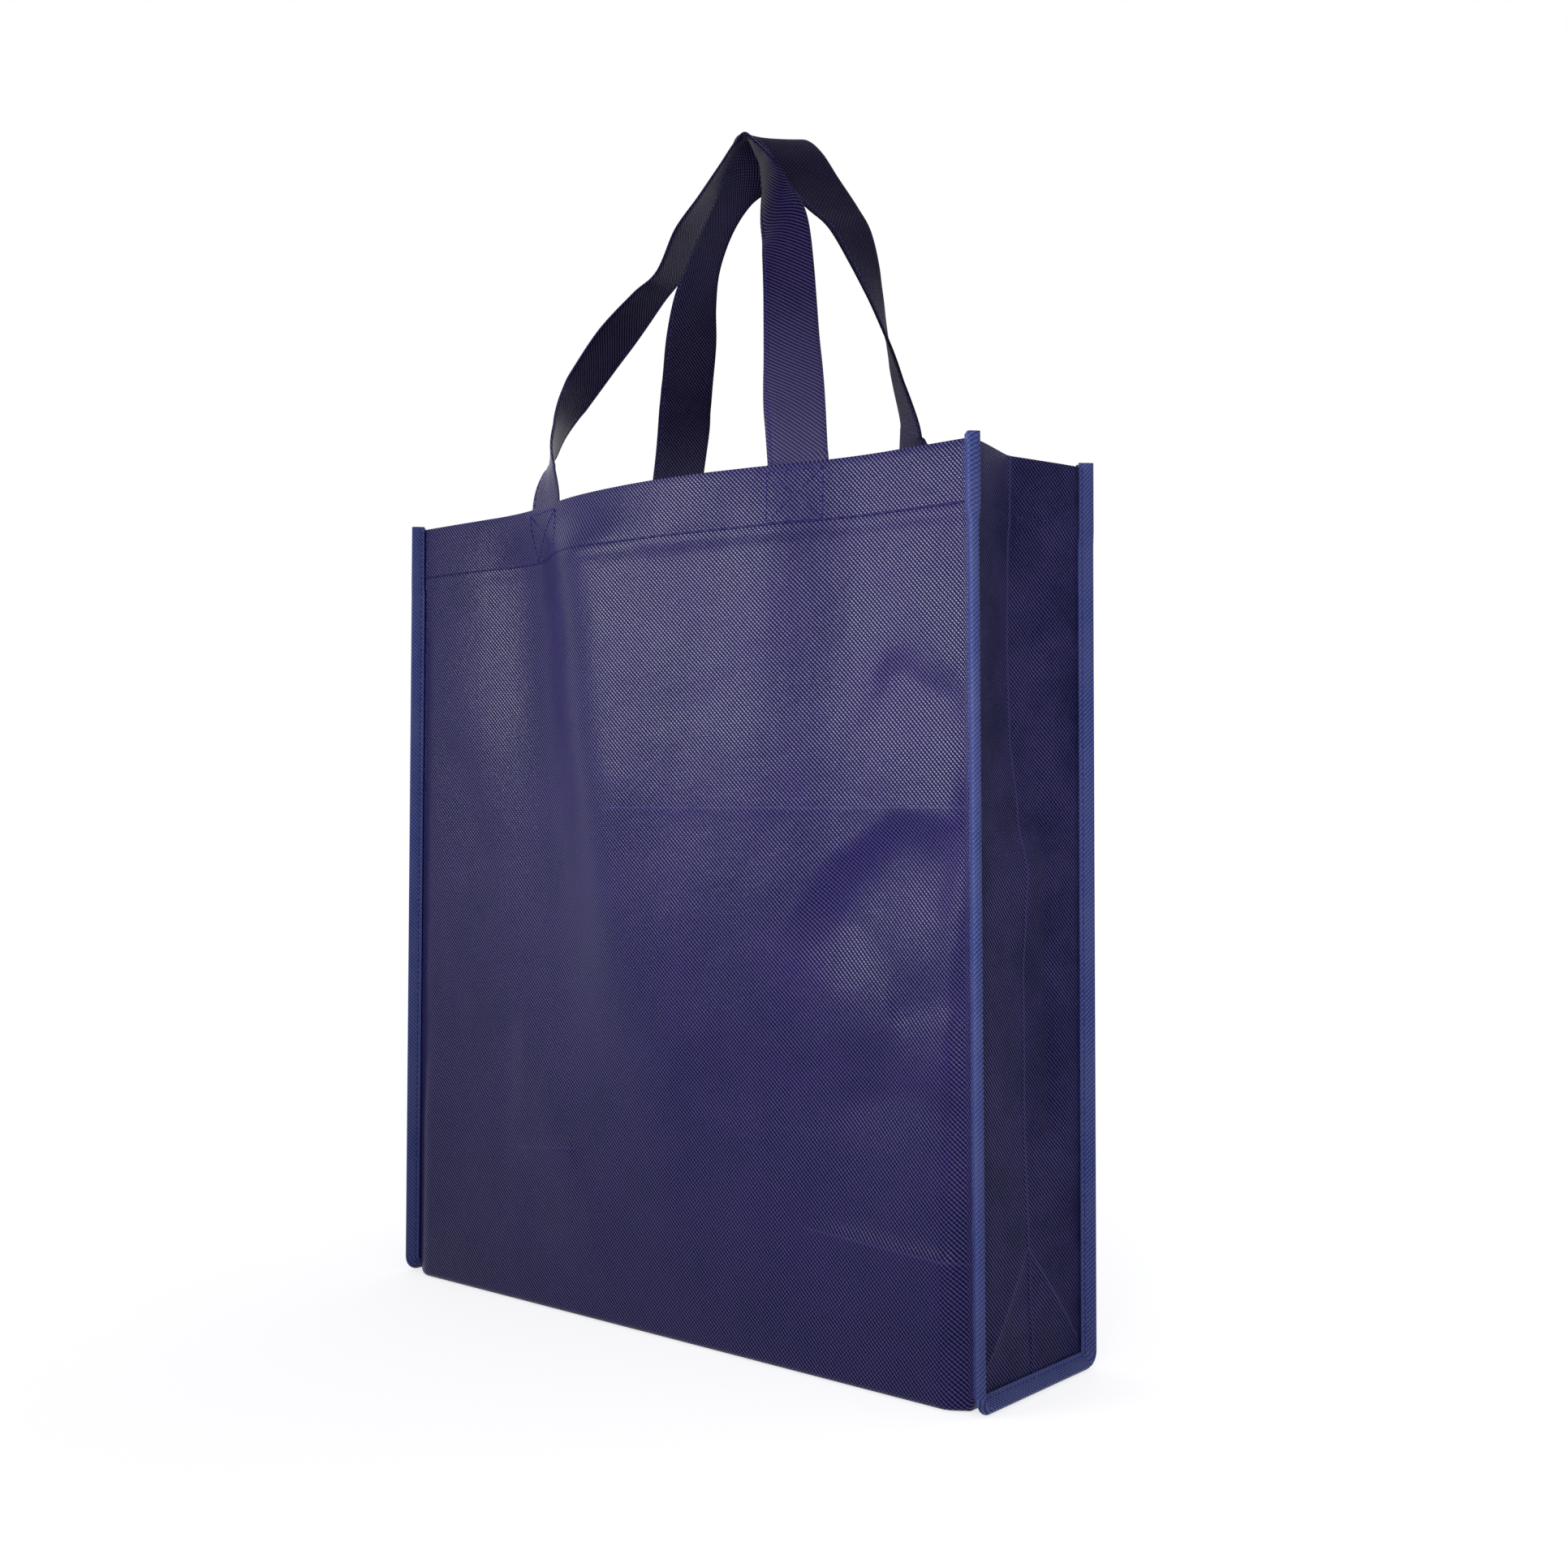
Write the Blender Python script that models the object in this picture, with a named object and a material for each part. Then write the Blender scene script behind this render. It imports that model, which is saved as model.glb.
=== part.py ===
"""Reusable shopping bag sewn from spunbond polypropylene sheet.

One sheet makes the front, the base and the back. A gusset closes each side, a folded
binding covers each side seam, and two flat handles are sewn inside the hem.
Units are metres, +Z is up, and the origin is under the middle of the base.
"""
import bpy
import bmesh
from math import atan2, cos, degrees, pi, radians, sin, sqrt, tan
from mathutils import Vector

# Overall sizes of the open bag, measured at the roots of its side seams
BAG_WIDTH = 0.360
BAG_DEPTH = 0.080
BAG_HEIGHT = 0.400

# Cloth, and the gap left between layers that lie on each other
FABRIC = 0.0005
CLEARANCE = 0.0003

# Hem at the mouth, turned to the inside
HEM_DEPTH = 0.028
HEM_STITCH_DROP = 0.0265
HEM_STEP_RUN = 0.008

# How far the mouth and the foot of the front and back bulge outward
MOUTH_BULGE = 0.020
MOUTH_BULGE_HALF_SPAN = 0.105
FOOT_BULGE = 0.0068
FOOT_BULGE_RUN = 0.014
FRONT_EDGE_LEAN = 0.0025

# Bottom fold, and the stretch over which the base climbs to the side seams
FOLD_RADIUS = 0.003
BASE_CLIMB_RUN = 0.0055

# Side seams: the seam allowance stands out at 45 degrees inside a doubled binding
SEAM_ALLOWANCE = 0.0062
SEAM_CORNER_RADIUS = 0.0013
BINDING_THICKNESS = 0.0010
BINDING_EDGE_CHAMFER = 0.0004
BINDING_OVERRUN = 0.0013
BINDING_STITCH_INSET = 0.0022

# Handles
STRAP_WIDTH = 0.030
STRAP_THICKNESS = 0.0016
STRAP_OFFSET = 0.0825
HANDLE_SHIFT = 0.007
STRAP_SETTLE_RUN = 0.030
HANDLE_RISE = 0.176

# Thread
THREAD_RADIUS = 0.00025
BOX_SEAM_INSET = 0.0015
BOX_SEAM_STROKE = 0.0005

# Depth of the inward crease of each gusset, as (share of the height, metres)
GUSSET_CREASE = (
    (0.00, 0.0000),
    (0.13, 0.0020),
    (0.32, 0.0032),
    (0.44, 0.0040),
    (0.50, 0.0026),
    (0.545, 0.0012),
    (0.61, 0.0060),
    (0.70, 0.0097),
    (0.79, 0.0107),
    (1.00, 0.0098),
)

# Handle routes above the mouth, from the left leg to the right leg. Each line is
# x from the middle of the handles as a share of the strap offset, y as a share of
# half the depth, z above the mouth as a share of the rise, then the turn of the
# strap's width about the upright and its tilt, both in degrees.
FRONT_HANDLE_ROUTE = (
    (-0.956, -1.125, 0.140, -45.0, -3.0),
    (-0.943, -1.031, 0.219, -52.0, 6.0),
    (-0.893, -0.927, 0.291, -63.4, 7.0),
    (-0.820, -0.817, 0.359, -74.0, 3.6),
    (-0.589, -0.722, 0.475, -80.8, -0.3),
    (-0.352, -0.657, 0.569, -76.9, -7.8),
    (-0.203, -0.616, 0.622, -71.0, -11.3),
    (-0.069, -0.588, 0.728, -70.0, -10.7),
    (0.082, -0.563, 0.813, -63.5, -16.4),
    (0.194, -0.539, 0.883, -56.1, -20.0),
    (0.291, -0.512, 0.938, -53.6, -21.8),
    (0.345, -0.462, 0.953, -54.0, -14.7),
    (0.374, -0.386, 0.930, -49.6, -11.7),
    (0.402, -0.299, 0.898, -44.3, -6.8),
    (0.426, -0.236, 0.847, -34.1, 4.9),
    (0.474, -0.241, 0.762, -17.4, 17.0),
    (0.574, -0.329, 0.671, -2.0, 16.0),
    (0.673, -0.503, 0.527, 2.5, 11.0),
    (0.793, -0.747, 0.326, 8.0, 7.0),
    (0.926, -1.024, 0.158, 14.0, 0.0),
)
BACK_HANDLE_ROUTE = (
    (-0.908, 1.150, 0.260, 18.9, 0.0),
    (-0.828, 1.034, 0.366, 19.4, -10.0),
    (-0.757, 0.922, 0.431, 19.3, -14.3),
    (-0.674, 0.811, 0.544, 16.7, -13.5),
    (-0.597, 0.716, 0.648, 4.0, -20.5),
    (-0.485, 0.651, 0.752, -12.0, -27.3),
    (-0.347, 0.618, 0.853, -14.0, -29.8),
    (-0.190, 0.600, 0.940, -4.0, -29.0),
    (-0.050, 0.590, 0.990, 22.0, -20.0),
    (0.075, 0.560, 1.028, 56.0, -2.0),
    (0.195, 0.510, 1.028, 67.0, 9.0),
    (0.340, 0.440, 0.966, 66.0, 15.0),
    (0.495, 0.363, 0.868, 65.0, 17.5),
    (0.677, 0.309, 0.773, 74.0, 11.8),
    (0.802, 0.314, 0.702, 85.9, 10.7),
    (0.887, 0.388, 0.596, 100.4, 12.5),
    (0.921, 0.505, 0.512, 113.2, 15.6),
    (0.937, 0.635, 0.429, 124.5, 15.2),
    (0.948, 0.771, 0.350, 133.5, 16.4),
    (0.947, 0.910, 0.283, 137.7, 14.7),
    (0.967, 1.050, 0.190, 144.0, 10.0),
)

LAYER_STEP = FABRIC + CLEARANCE
SEAM_OFFSET = LAYER_STEP / 2
HALF_WIDTH = BAG_WIDTH / 2
HALF_DEPTH = BAG_DEPTH / 2
MITRE = tan(pi / 8)
DIAGONAL = sqrt(0.5)
BINDING_INNER_DEPTH = SEAM_ALLOWANCE + CLEARANCE
BINDING_OUTER_DEPTH = BINDING_INNER_DEPTH + BINDING_THICKNESS
BINDING_SIDE = SEAM_OFFSET + FABRIC / 2 + CLEARANCE
SEAM_ROOT_HEIGHT = DIAGONAL * (
    BINDING_OUTER_DEPTH + BINDING_SIDE + BINDING_THICKNESS - BINDING_EDGE_CHAMFER
)
CORNER_TOP = SEAM_ROOT_HEIGHT + SEAM_CORNER_RADIUS
HEM_FOLD_TOP = BAG_HEIGHT - FABRIC / 2
HEM_FOLD_FOOT = HEM_FOLD_TOP - LAYER_STEP / 2
HEM_END = BAG_HEIGHT - HEM_DEPTH
HEM_STEP_TOP = HEM_END - 2 * CLEARANCE

# Places of the mesh rows and columns
CORNER_ANGLES = (30.0, 60.0)
EDGE_COLUMNS = (0.7, 0.4, 0.15)
GUSSET_COLUMNS = (-0.8, -0.45, -0.12, 0.0, 0.12, 0.45, 0.8)
BASE_ROW = 0.6
CURVE_STEPS = 3


def smooth_step(value):
    value = min(max(value, 0.0), 1.0)
    return value * value * (3 - 2 * value)


def spaced(start, end, count):
    return [start + (end - start) * i / count for i in range(count + 1)]


def layer_offset(z):
    """Distance of the outermost cloth from the seam plane: the hem pushes it out."""
    pushed = smooth_step((z - (HEM_STEP_TOP - HEM_STEP_RUN)) / HEM_STEP_RUN)
    return SEAM_OFFSET + LAYER_STEP * pushed


def bulge(x, z):
    """Outward bulge of the front and back, a ruled blend of the mouth and the foot."""
    reach = min(abs(x - HANDLE_SHIFT) / MOUTH_BULGE_HALF_SPAN, 1.0)
    mouth = MOUTH_BULGE * cos(reach * pi / 2)
    foot = FOOT_BULGE * smooth_step((HALF_WIDTH - abs(x)) / FOOT_BULGE_RUN)
    share = min(max(z / BAG_HEIGHT, 0.0), 1.0)
    return share * mouth + (1 - share) * foot


def crease_depth(z):
    share = min(max(z / BAG_HEIGHT, 0.0), 1.0)
    for (low, low_depth), (high, high_depth) in zip(GUSSET_CREASE, GUSSET_CREASE[1:]):
        if share <= high:
            return low_depth + (high_depth - low_depth) * smooth_step((share - low) / (high - low))
    return GUSSET_CREASE[-1][1]


def base_climb(x):
    """How far the base has climbed to the side seam, from 0 to 1."""
    return smooth_step(1 - (HALF_WIDTH - abs(x)) / BASE_CLIMB_RUN)


def base_height(x):
    """Middle of the base sheet: flat, then climbing to the seam at each side."""
    return FABRIC / 2 + (SEAM_ROOT_HEIGHT - SEAM_OFFSET - FABRIC / 2) * base_climb(x)


def fold_radius(x):
    return FOLD_RADIUS + (SEAM_CORNER_RADIUS + SEAM_OFFSET - FOLD_RADIUS) * base_climb(x)


class SeamStation:
    """A point of the U-shaped side seam, with its outward direction in the YZ plane."""

    def __init__(self, y, z, out_y, out_z, inset=0.0):
        self.y = y
        self.z = z
        self.out_y = out_y
        self.out_z = out_z
        self.inset = inset

    def point(self, side, across, along):
        """across runs from the panel side to the gusset side, along runs out to the tip."""
        reach = (along - across) * DIAGONAL
        x = HALF_WIDTH - self.inset + (along + across) * DIAGONAL
        return Vector((side * x, self.y + self.out_y * reach, self.z + self.out_z * reach))


def upright_station(face, z):
    lean = FRONT_EDGE_LEAN if face < 0 else 0.0
    rise = max(z - CORNER_TOP, 0.0) / (BAG_HEIGHT - CORNER_TOP)
    return SeamStation(face * HALF_DEPTH, z, face, 0.0, lean * rise)


def corner_station(face, turn):
    angle = radians(turn)
    centre_y = face * (HALF_DEPTH - SEAM_CORNER_RADIUS)
    y = centre_y + face * SEAM_CORNER_RADIUS * cos(angle)
    z = CORNER_TOP - SEAM_CORNER_RADIUS * sin(angle)
    return SeamStation(y, z, face * cos(angle), -sin(angle))


def base_station(y):
    return SeamStation(y, SEAM_ROOT_HEIGHT, 0.0, -1.0)


def upright_heights():
    """Heights of the rows of cloth below the hem fold, from the top down."""
    step_foot = HEM_STEP_TOP - HEM_STEP_RUN
    near_hem = [HEM_FOLD_FOOT, HEM_END, HEM_STEP_TOP, HEM_STEP_TOP - HEM_STEP_RUN / 2, step_foot]
    rest = spaced(step_foot, CORNER_TOP + BASE_CLIMB_RUN, 9)
    return near_hem + rest[1:]


def hem_fold_rows():
    """The turned layer and the fold, as (height, distance outside the seam layer)."""
    rows = [(z, 0.0) for z in spaced(HEM_END, HEM_FOLD_FOOT, 2)]
    for turn in (45.0, 90.0, 135.0):
        angle = radians(turn)
        rows.append((HEM_FOLD_FOOT + LAYER_STEP / 2 * sin(angle), LAYER_STEP / 2 * (1 - cos(angle))))
    return rows


def panel_columns():
    """Places across the panel where its mesh has a column, edges left out."""
    half = STRAP_WIDTH / 2
    shoulder = HALF_WIDTH - BASE_CLIMB_RUN
    left = HANDLE_SHIFT - STRAP_OFFSET
    right = HANDLE_SHIFT + STRAP_OFFSET
    edge = [HALF_WIDTH - BASE_CLIMB_RUN * share for share in EDGE_COLUMNS]
    columns = [-x for x in reversed(edge)]
    columns += spaced(-shoulder, left - half, 3) + [left]
    columns += spaced(left + half, right - half, 6) + [right]
    return columns + spaced(right + half, shoulder, 3) + edge


def drawn_in(x, inset):
    """A column's place where the side edge leans in: columns by the straps stay."""
    outer = HANDLE_SHIFT + STRAP_OFFSET + STRAP_WIDTH / 2
    share = max(abs(x) - outer, 0.0) / (HALF_WIDTH - outer)
    return x - inset * share * (1 if x > 0 else -1)


def new_object(name, mesh, material):
    mesh.materials.append(material)
    item = bpy.data.objects.new(name, mesh)
    bpy.context.scene.collection.objects.link(item)
    return item


def mesh_from(name, points, faces):
    mesh = bpy.data.meshes.new(name)
    mesh.from_pydata([tuple(p) for p in points], [], faces)
    mesh.update()
    return mesh


def thicken(item, thickness):
    solid = item.modifiers.new("thickness", "SOLIDIFY")
    solid.thickness = thickness
    solid.offset = 0.0
    solid.use_even_offset = True
    solid.use_quality_normals = True


def sheet_object(name, rows, extra_points, extra_faces, material):
    """A grid of cloth, with any extra faces, given the fabric's thickness."""
    width = len(rows[0])
    points = [p for row in rows for p in row] + list(extra_points)
    faces = []
    for r in range(len(rows) - 1):
        for c in range(width - 1):
            a = r * width + c
            faces.append((a, a + 1, a + width + 1, a + width))
    item = new_object(name, mesh_from(name, points, faces + extra_faces), material)
    thicken(item, FABRIC)
    return item


def loft_object(name, rings, material, closed=False):
    """A solid skinned over rings of points, capped at its ends unless it closes."""
    size = len(rings[0])
    points = [p for ring in rings for p in ring]
    count = len(rings)
    faces = []
    for r in range(count if closed else count - 1):
        here = r * size
        there = ((r + 1) % count) * size
        for c in range(size):
            d = (c + 1) % size
            faces.append((here + c, here + d, there + d, there + c))
    if not closed:
        faces.append(tuple(range(size)))
        faces.append(tuple(reversed(range((count - 1) * size, count * size))))
    mesh = mesh_from(name, points, faces)
    work = bmesh.new()
    work.from_mesh(mesh)
    bmesh.ops.recalc_face_normals(work, faces=work.faces)
    work.to_mesh(mesh)
    work.free()
    return new_object(name, mesh, material)


def tube_object(name, route, material, radius=THREAD_RADIUS, sides=4):
    """A thread laid along a route of points, none of them running along the guide."""
    rings = []
    for i, centre in enumerate(route):
        ahead = route[min(i + 1, len(route) - 1)]
        behind = route[max(i - 1, 0)]
        tangent = (ahead - behind).normalized()
        guide = Vector((0.3, 0.9, 0.3))
        if abs(tangent.y) > 0.8:
            guide = Vector((0.9, 0.3, 0.3))
        first = tangent.cross(guide).normalized()
        second = tangent.cross(first)
        turns = [2 * pi * k / sides for k in range(sides)]
        rings.append([centre + (first * cos(t) + second * sin(t)) * radius for t in turns])
    return loft_object(name, rings, material)


def panel_row(station, offset, place):
    """One row of the body sheet, from the left lip, over the panel, to the right lip."""
    lip = (offset * MITRE, SEAM_ALLOWANCE)
    row = [station.point(-1, -offset, along) for along in reversed(lip)]
    for column in panel_columns():
        x = drawn_in(column, station.inset)
        row.append(Vector((x, *place(x))))
    row += [station.point(1, -offset, along) for along in lip]
    return row


def face_rows(face):
    """Rows of the front (face -1) or back (face 1), from the turned hem to the base."""
    rows = []

    def flat_place(z, offset):
        return lambda x: (face * (HALF_DEPTH + offset + bulge(x, z)), z)

    for z, step in hem_fold_rows():
        offset = SEAM_OFFSET + step
        rows.append(panel_row(upright_station(face, z), offset, flat_place(z, offset)))
    for z in upright_heights():
        offset = layer_offset(z)
        rows.append(panel_row(upright_station(face, z), offset, flat_place(z, offset)))

    def fold_place(turn):
        angle = radians(turn)

        def place(x):
            radius = fold_radius(x)
            outer = HALF_DEPTH + SEAM_OFFSET + bulge(x, 0.0)
            y = face * (outer - radius * (1 - cos(angle)))
            return y, base_height(x) + radius * (1 - sin(angle))

        return place

    for turn in (0.0, *CORNER_ANGLES, 90.0):
        station = corner_station(face, turn)
        rows.append(panel_row(station, SEAM_OFFSET, fold_place(turn)))

    def base_place(x):
        start = HALF_DEPTH + SEAM_OFFSET + bulge(x, 0.0) - fold_radius(x)
        return face * start * BASE_ROW, base_height(x)

    y = face * (HALF_DEPTH - SEAM_CORNER_RADIUS) * BASE_ROW
    rows.append(panel_row(base_station(y), SEAM_OFFSET, base_place))
    return rows


def build_body(material):
    middle = panel_row(base_station(0.0), SEAM_OFFSET, lambda x: (0.0, base_height(x)))
    rows = face_rows(-1) + [middle] + list(reversed(face_rows(1)))
    return sheet_object("body_sheet", rows, [], [], material)


def gusset_x(y, z, offset):
    """Distance of the creased gusset from the middle of the bag."""
    lean = upright_station(-1, z).inset * (1 - y / HALF_DEPTH) / 2
    return HALF_WIDTH + offset - lean - crease_depth(z) * (1 - abs(y) / HALF_DEPTH)


def gusset_row(side, z, offset):
    """One row of a gusset: front lip, the creased cloth, back lip."""
    lip = (offset * MITRE, SEAM_ALLOWANCE)
    front = upright_station(-1, z)
    back = upright_station(1, z)
    row = [front.point(side, offset, along) for along in reversed(lip)]
    for share in (-1.0, *GUSSET_COLUMNS, 1.0):
        y = share * (HALF_DEPTH - SEAM_CORNER_RADIUS)
        row.append(Vector((side * gusset_x(y, z, offset), y, z)))
    row += [back.point(side, offset, along) for along in lip]
    return row


def build_gusset(side, material):
    name = "gusset_right" if side > 0 else "gusset_left"
    rows = []
    for z, step in hem_fold_rows():
        rows.append(gusset_row(side, z, SEAM_OFFSET + step))
    for z in upright_heights() + [CORNER_TOP]:
        rows.append(gusset_row(side, z, layer_offset(z)))
    # The lip turns both bottom corners and runs along the base
    width = len(rows[0])
    last = (len(rows) - 1) * width
    lip = (SEAM_OFFSET * MITRE, SEAM_ALLOWANCE)
    stations = [corner_station(-1, turn) for turn in (*CORNER_ANGLES, 90.0)]
    flat = [share * (HALF_DEPTH - SEAM_CORNER_RADIUS) for share in GUSSET_COLUMNS]
    stations += [base_station(y) for y in flat]
    stations += [corner_station(1, turn) for turn in (90.0, *reversed(CORNER_ANGLES))]
    points = [s.point(side, SEAM_OFFSET, along) for s in stations for along in lip]
    first = last + width
    lips = [(last + 1, last)]
    lips += [(first + 2 * i, first + 2 * i + 1) for i in range(len(stations))]
    lips += [(last + width - 2, last + width - 1)]
    faces = [(here[0], there[0], there[1], here[1]) for here, there in zip(lips, lips[1:])]
    # The narrow strip above the base lip, with a fan at each corner
    fan = len(CORNER_ANGLES) + 1
    left_apex = last + 2
    right_apex = last + width - 3
    for i in range(fan):
        faces.append((left_apex, lips[i + 1][0], lips[i][0]))
        faces.append((right_apex, lips[-1 - i][0], lips[-2 - i][0]))
    for i in range(len(GUSSET_COLUMNS) + 1):
        faces.append((left_apex + i, left_apex + i + 1, lips[fan + i + 1][0], lips[fan + i][0]))
    return sheet_object(name, rows, points, faces, material)


def binding_ring(station, side, extra):
    """Section of the folded binding around the lips at one station of the seam."""
    inner = BINDING_SIDE + extra
    outer = inner + BINDING_THICKNESS
    start = inner * MITRE
    tip = BINDING_OUTER_DEPTH
    cut = BINDING_EDGE_CHAMFER
    section = (
        (-inner, start),
        (-inner, BINDING_INNER_DEPTH),
        (inner, BINDING_INNER_DEPTH),
        (inner, start),
        (outer, start),
        (outer, tip - cut),
        (outer - cut, tip),
        (-outer + cut, tip),
        (-outer, tip - cut),
        (-outer, start),
    )
    return [station.point(side, across, along) for across, along in section]


def seam_stations():
    """Stations down the front seam, round the base and up the back, with the hem's extra."""
    heights = [BAG_HEIGHT + BINDING_OVERRUN] + upright_heights() + [CORNER_TOP]
    front = [(upright_station(-1, z), layer_offset(z) - SEAM_OFFSET) for z in heights]
    front += [(corner_station(-1, turn), 0.0) for turn in (*CORNER_ANGLES, 90.0)]
    back = [(upright_station(1, z), layer_offset(z) - SEAM_OFFSET) for z in heights]
    back += [(corner_station(1, turn), 0.0) for turn in (*CORNER_ANGLES, 90.0)]
    return front + [(base_station(0.0), 0.0)] + list(reversed(back))


def build_binding(side, material):
    name = "binding_right" if side > 0 else "binding_left"
    rings = [binding_ring(station, side, extra) for station, extra in seam_stations()]
    return loft_object(name, rings, material)


def curve_through(points, steps):
    """Points of a Catmull-Rom curve through hand-chosen points of any dimension."""
    padded = [points[0]] + list(points) + [points[-1]]
    result = []
    for i in range(1, len(padded) - 2):
        before, start, end, after = padded[i - 1:i + 3]
        for k in range(steps):
            t = k / steps
            result.append([
                0.5 * (2 * b + (c - a) * t + (2 * a - 5 * b + 4 * c - d) * t ** 2
                       + (3 * b - a - 3 * c + d) * t ** 3)
                for a, b, c, d in zip(before, start, end, after)
            ])
    result.append(list(points[-1]))
    return result


def strap_seat(face, x, z):
    """Depth of the strap's middle where it lies inside the hem."""
    gap = FABRIC / 2 + CLEARANCE + STRAP_THICKNESS / 2
    return face * (HALF_DEPTH + SEAM_OFFSET + bulge(x, z) - gap)


def seat_turn(face, x, z):
    """Turn of the strap's width, in degrees, where it lies along the bulging hem."""
    half = STRAP_WIDTH / 2
    return degrees(atan2(strap_seat(face, x + half, z) - strap_seat(face, x - half, z), 2 * half))


def handle_stations(face, route):
    """The whole route: sewn end, free loop, sewn end, as x, y, z, turn and tilt."""
    sewn = spaced(HEM_END + CLEARANCE, BAG_HEIGHT + 2 * CLEARANCE, 2)
    ends = []
    for side, twist in ((-1, 0.0), (1, 180.0 if face > 0 else 0.0)):
        x = HANDLE_SHIFT + side * STRAP_OFFSET
        seats = [(strap_seat(face, x, z), z, seat_turn(face, x, z) + twist) for z in sewn]
        ends.append([(x, y, z, turn, 0.0) for y, z, turn in seats])
    left = ends[0]
    right = list(reversed(ends[1]))
    free = [
        (HANDLE_SHIFT + x * STRAP_OFFSET, y * HALF_DEPTH, BAG_HEIGHT + z * HANDLE_RISE, turn, tilt)
        for x, y, z, turn, tilt in route
    ]
    loop = curve_through([left[-1]] + free + [right[0]], CURVE_STEPS)
    return left[:-1] + loop + right[1:]


def strap_rings(face, route):
    """Sections of a strap: three points across, on each of its two sides."""
    stations = handle_stations(face, route)
    rings = []
    for i, (x, y, z, turn, tilt) in enumerate(stations):
        ahead = Vector(stations[min(i + 1, len(stations) - 1)][:3])
        behind = Vector(stations[max(i - 1, 0)][:3])
        tangent = (ahead - behind).normalized()
        turn = radians(turn)
        tilt = radians(tilt)
        guide = Vector((cos(turn) * cos(tilt), sin(turn) * cos(tilt), sin(tilt)))
        normal = tangent.cross(guide).normalized()
        across = normal.cross(tangent)
        settle = 1 - smooth_step((z - BAG_HEIGHT) / STRAP_SETTLE_RUN)
        line = []
        for share in (-0.5, 0.0, 0.5):
            point = Vector((x, y, z)) + across * STRAP_WIDTH * share
            seated = y + strap_seat(face, point.x, z) - strap_seat(face, x, z)
            point.y += settle * (seated - point.y)
            line.append(point)
        shift = normal * STRAP_THICKNESS / 2
        rings.append([p + shift for p in line] + [p - shift for p in reversed(line)])
    return rings


def build_handle(face, material):
    route = FRONT_HANDLE_ROUTE if face < 0 else BACK_HANDLE_ROUTE
    name = "handle_front" if face < 0 else "handle_back"
    return loft_object(name, strap_rings(face, route), material)


def thread_depth(face, x, z):
    """Depth of a thread's middle lying on the outside of the hem."""
    lift = FABRIC / 2 + CLEARANCE + THREAD_RADIUS
    return face * (HALF_DEPTH + layer_offset(z) + bulge(x, z) + lift)


def build_hem_seam(face, material):
    name = "hem_seam_front" if face < 0 else "hem_seam_back"
    z = BAG_HEIGHT - HEM_STITCH_DROP
    end = HALF_WIDTH - FRONT_EDGE_LEAN - 2 * BINDING_THICKNESS
    places = [-end] + [x for x in panel_columns() if abs(x) < end] + [end]
    route = [Vector((x, thread_depth(face, x, z), z)) for x in places]
    return tube_object(name, route, material)


def build_gusset_hem_seam(side, material):
    name = "hem_seam_right" if side > 0 else "hem_seam_left"
    z = BAG_HEIGHT - HEM_STITCH_DROP
    end = HALF_DEPTH - 2 * BINDING_THICKNESS
    lift = layer_offset(z) + FABRIC / 2 + CLEARANCE + THREAD_RADIUS
    inner = [share * (HALF_DEPTH - SEAM_CORNER_RADIUS) for share in GUSSET_COLUMNS]
    places = [-end] + inner + [end]
    route = [Vector((side * gusset_x(y, z, lift), y, z)) for y in places]
    return tube_object(name, route, material)


def inset_corner(corner, before, after, before_inset, after_inset):
    """A triangle's corner once the sides to its two neighbours have moved inward."""
    first = (before - corner).normalized()
    second = (after - corner).normalized()
    spread = abs(first.cross(second))
    return corner + (first * after_inset + second * before_inset) / spread


def build_box_seam(face, side, material):
    """The sewn box with its cross, where a handle is fixed to the hem."""
    name = "handle_seam_%s_%s" % ("front" if face < 0 else "back", "right" if side > 0 else "left")
    half = STRAP_WIDTH / 2 - BOX_SEAM_INSET
    top = BAG_HEIGHT - 2 * BOX_SEAM_INSET
    foot = BAG_HEIGHT - HEM_STITCH_DROP + 2 * (THREAD_RADIUS + CLEARANCE)
    centre_z = (top + foot) / 2
    rise = (top - foot) / 2
    edge = BOX_SEAM_STROKE
    arm = BOX_SEAM_STROKE / 2
    middle = Vector((0.0, 0.0))
    corners = [Vector(c) for c in ((half, rise), (-half, rise), (-half, -rise), (half, -rise))]
    points = list(corners)
    holes = []
    for a, b in zip(corners, corners[1:] + corners[:1]):
        holes.append(len(points))
        points.append(inset_corner(a, middle, b, arm, edge))
        points.append(inset_corner(b, a, middle, edge, arm))
        points.append(inset_corner(middle, b, a, arm, arm))
    faces = []
    for i in range(4):
        here = holes[i]
        after = holes[(i + 1) % 4]
        faces.append((i, (i + 1) % 4, here + 1, here))
        faces.append(((i + 1) % 4, after, after + 2, here + 2, here + 1))
    faces.append(tuple(holes[i] + 2 for i in range(4)))
    places = []
    for x, z in points:
        bag_x = HANDLE_SHIFT + side * STRAP_OFFSET + x
        bag_z = centre_z + z
        places.append(Vector((bag_x, thread_depth(face, bag_x, bag_z) + face * THREAD_RADIUS, bag_z)))
    mesh = mesh_from(name, places, faces)
    work = bmesh.new()
    work.from_mesh(mesh)
    bmesh.ops.triangulate(work, faces=work.faces)
    bmesh.ops.recalc_face_normals(work, faces=work.faces)
    work.to_mesh(mesh)
    work.free()
    item = new_object(name, mesh, material)
    thicken(item, 2 * THREAD_RADIUS)
    return item


def build_binding_seam(side, material):
    name = "binding_seam_right" if side > 0 else "binding_seam_left"
    route = []
    for station, extra in seam_stations()[1:-1]:
        lift = BINDING_SIDE + extra + BINDING_THICKNESS + CLEARANCE + THREAD_RADIUS
        route.append(station.point(side, lift, BINDING_STITCH_INSET))
    return tube_object(name, route, material)


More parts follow.
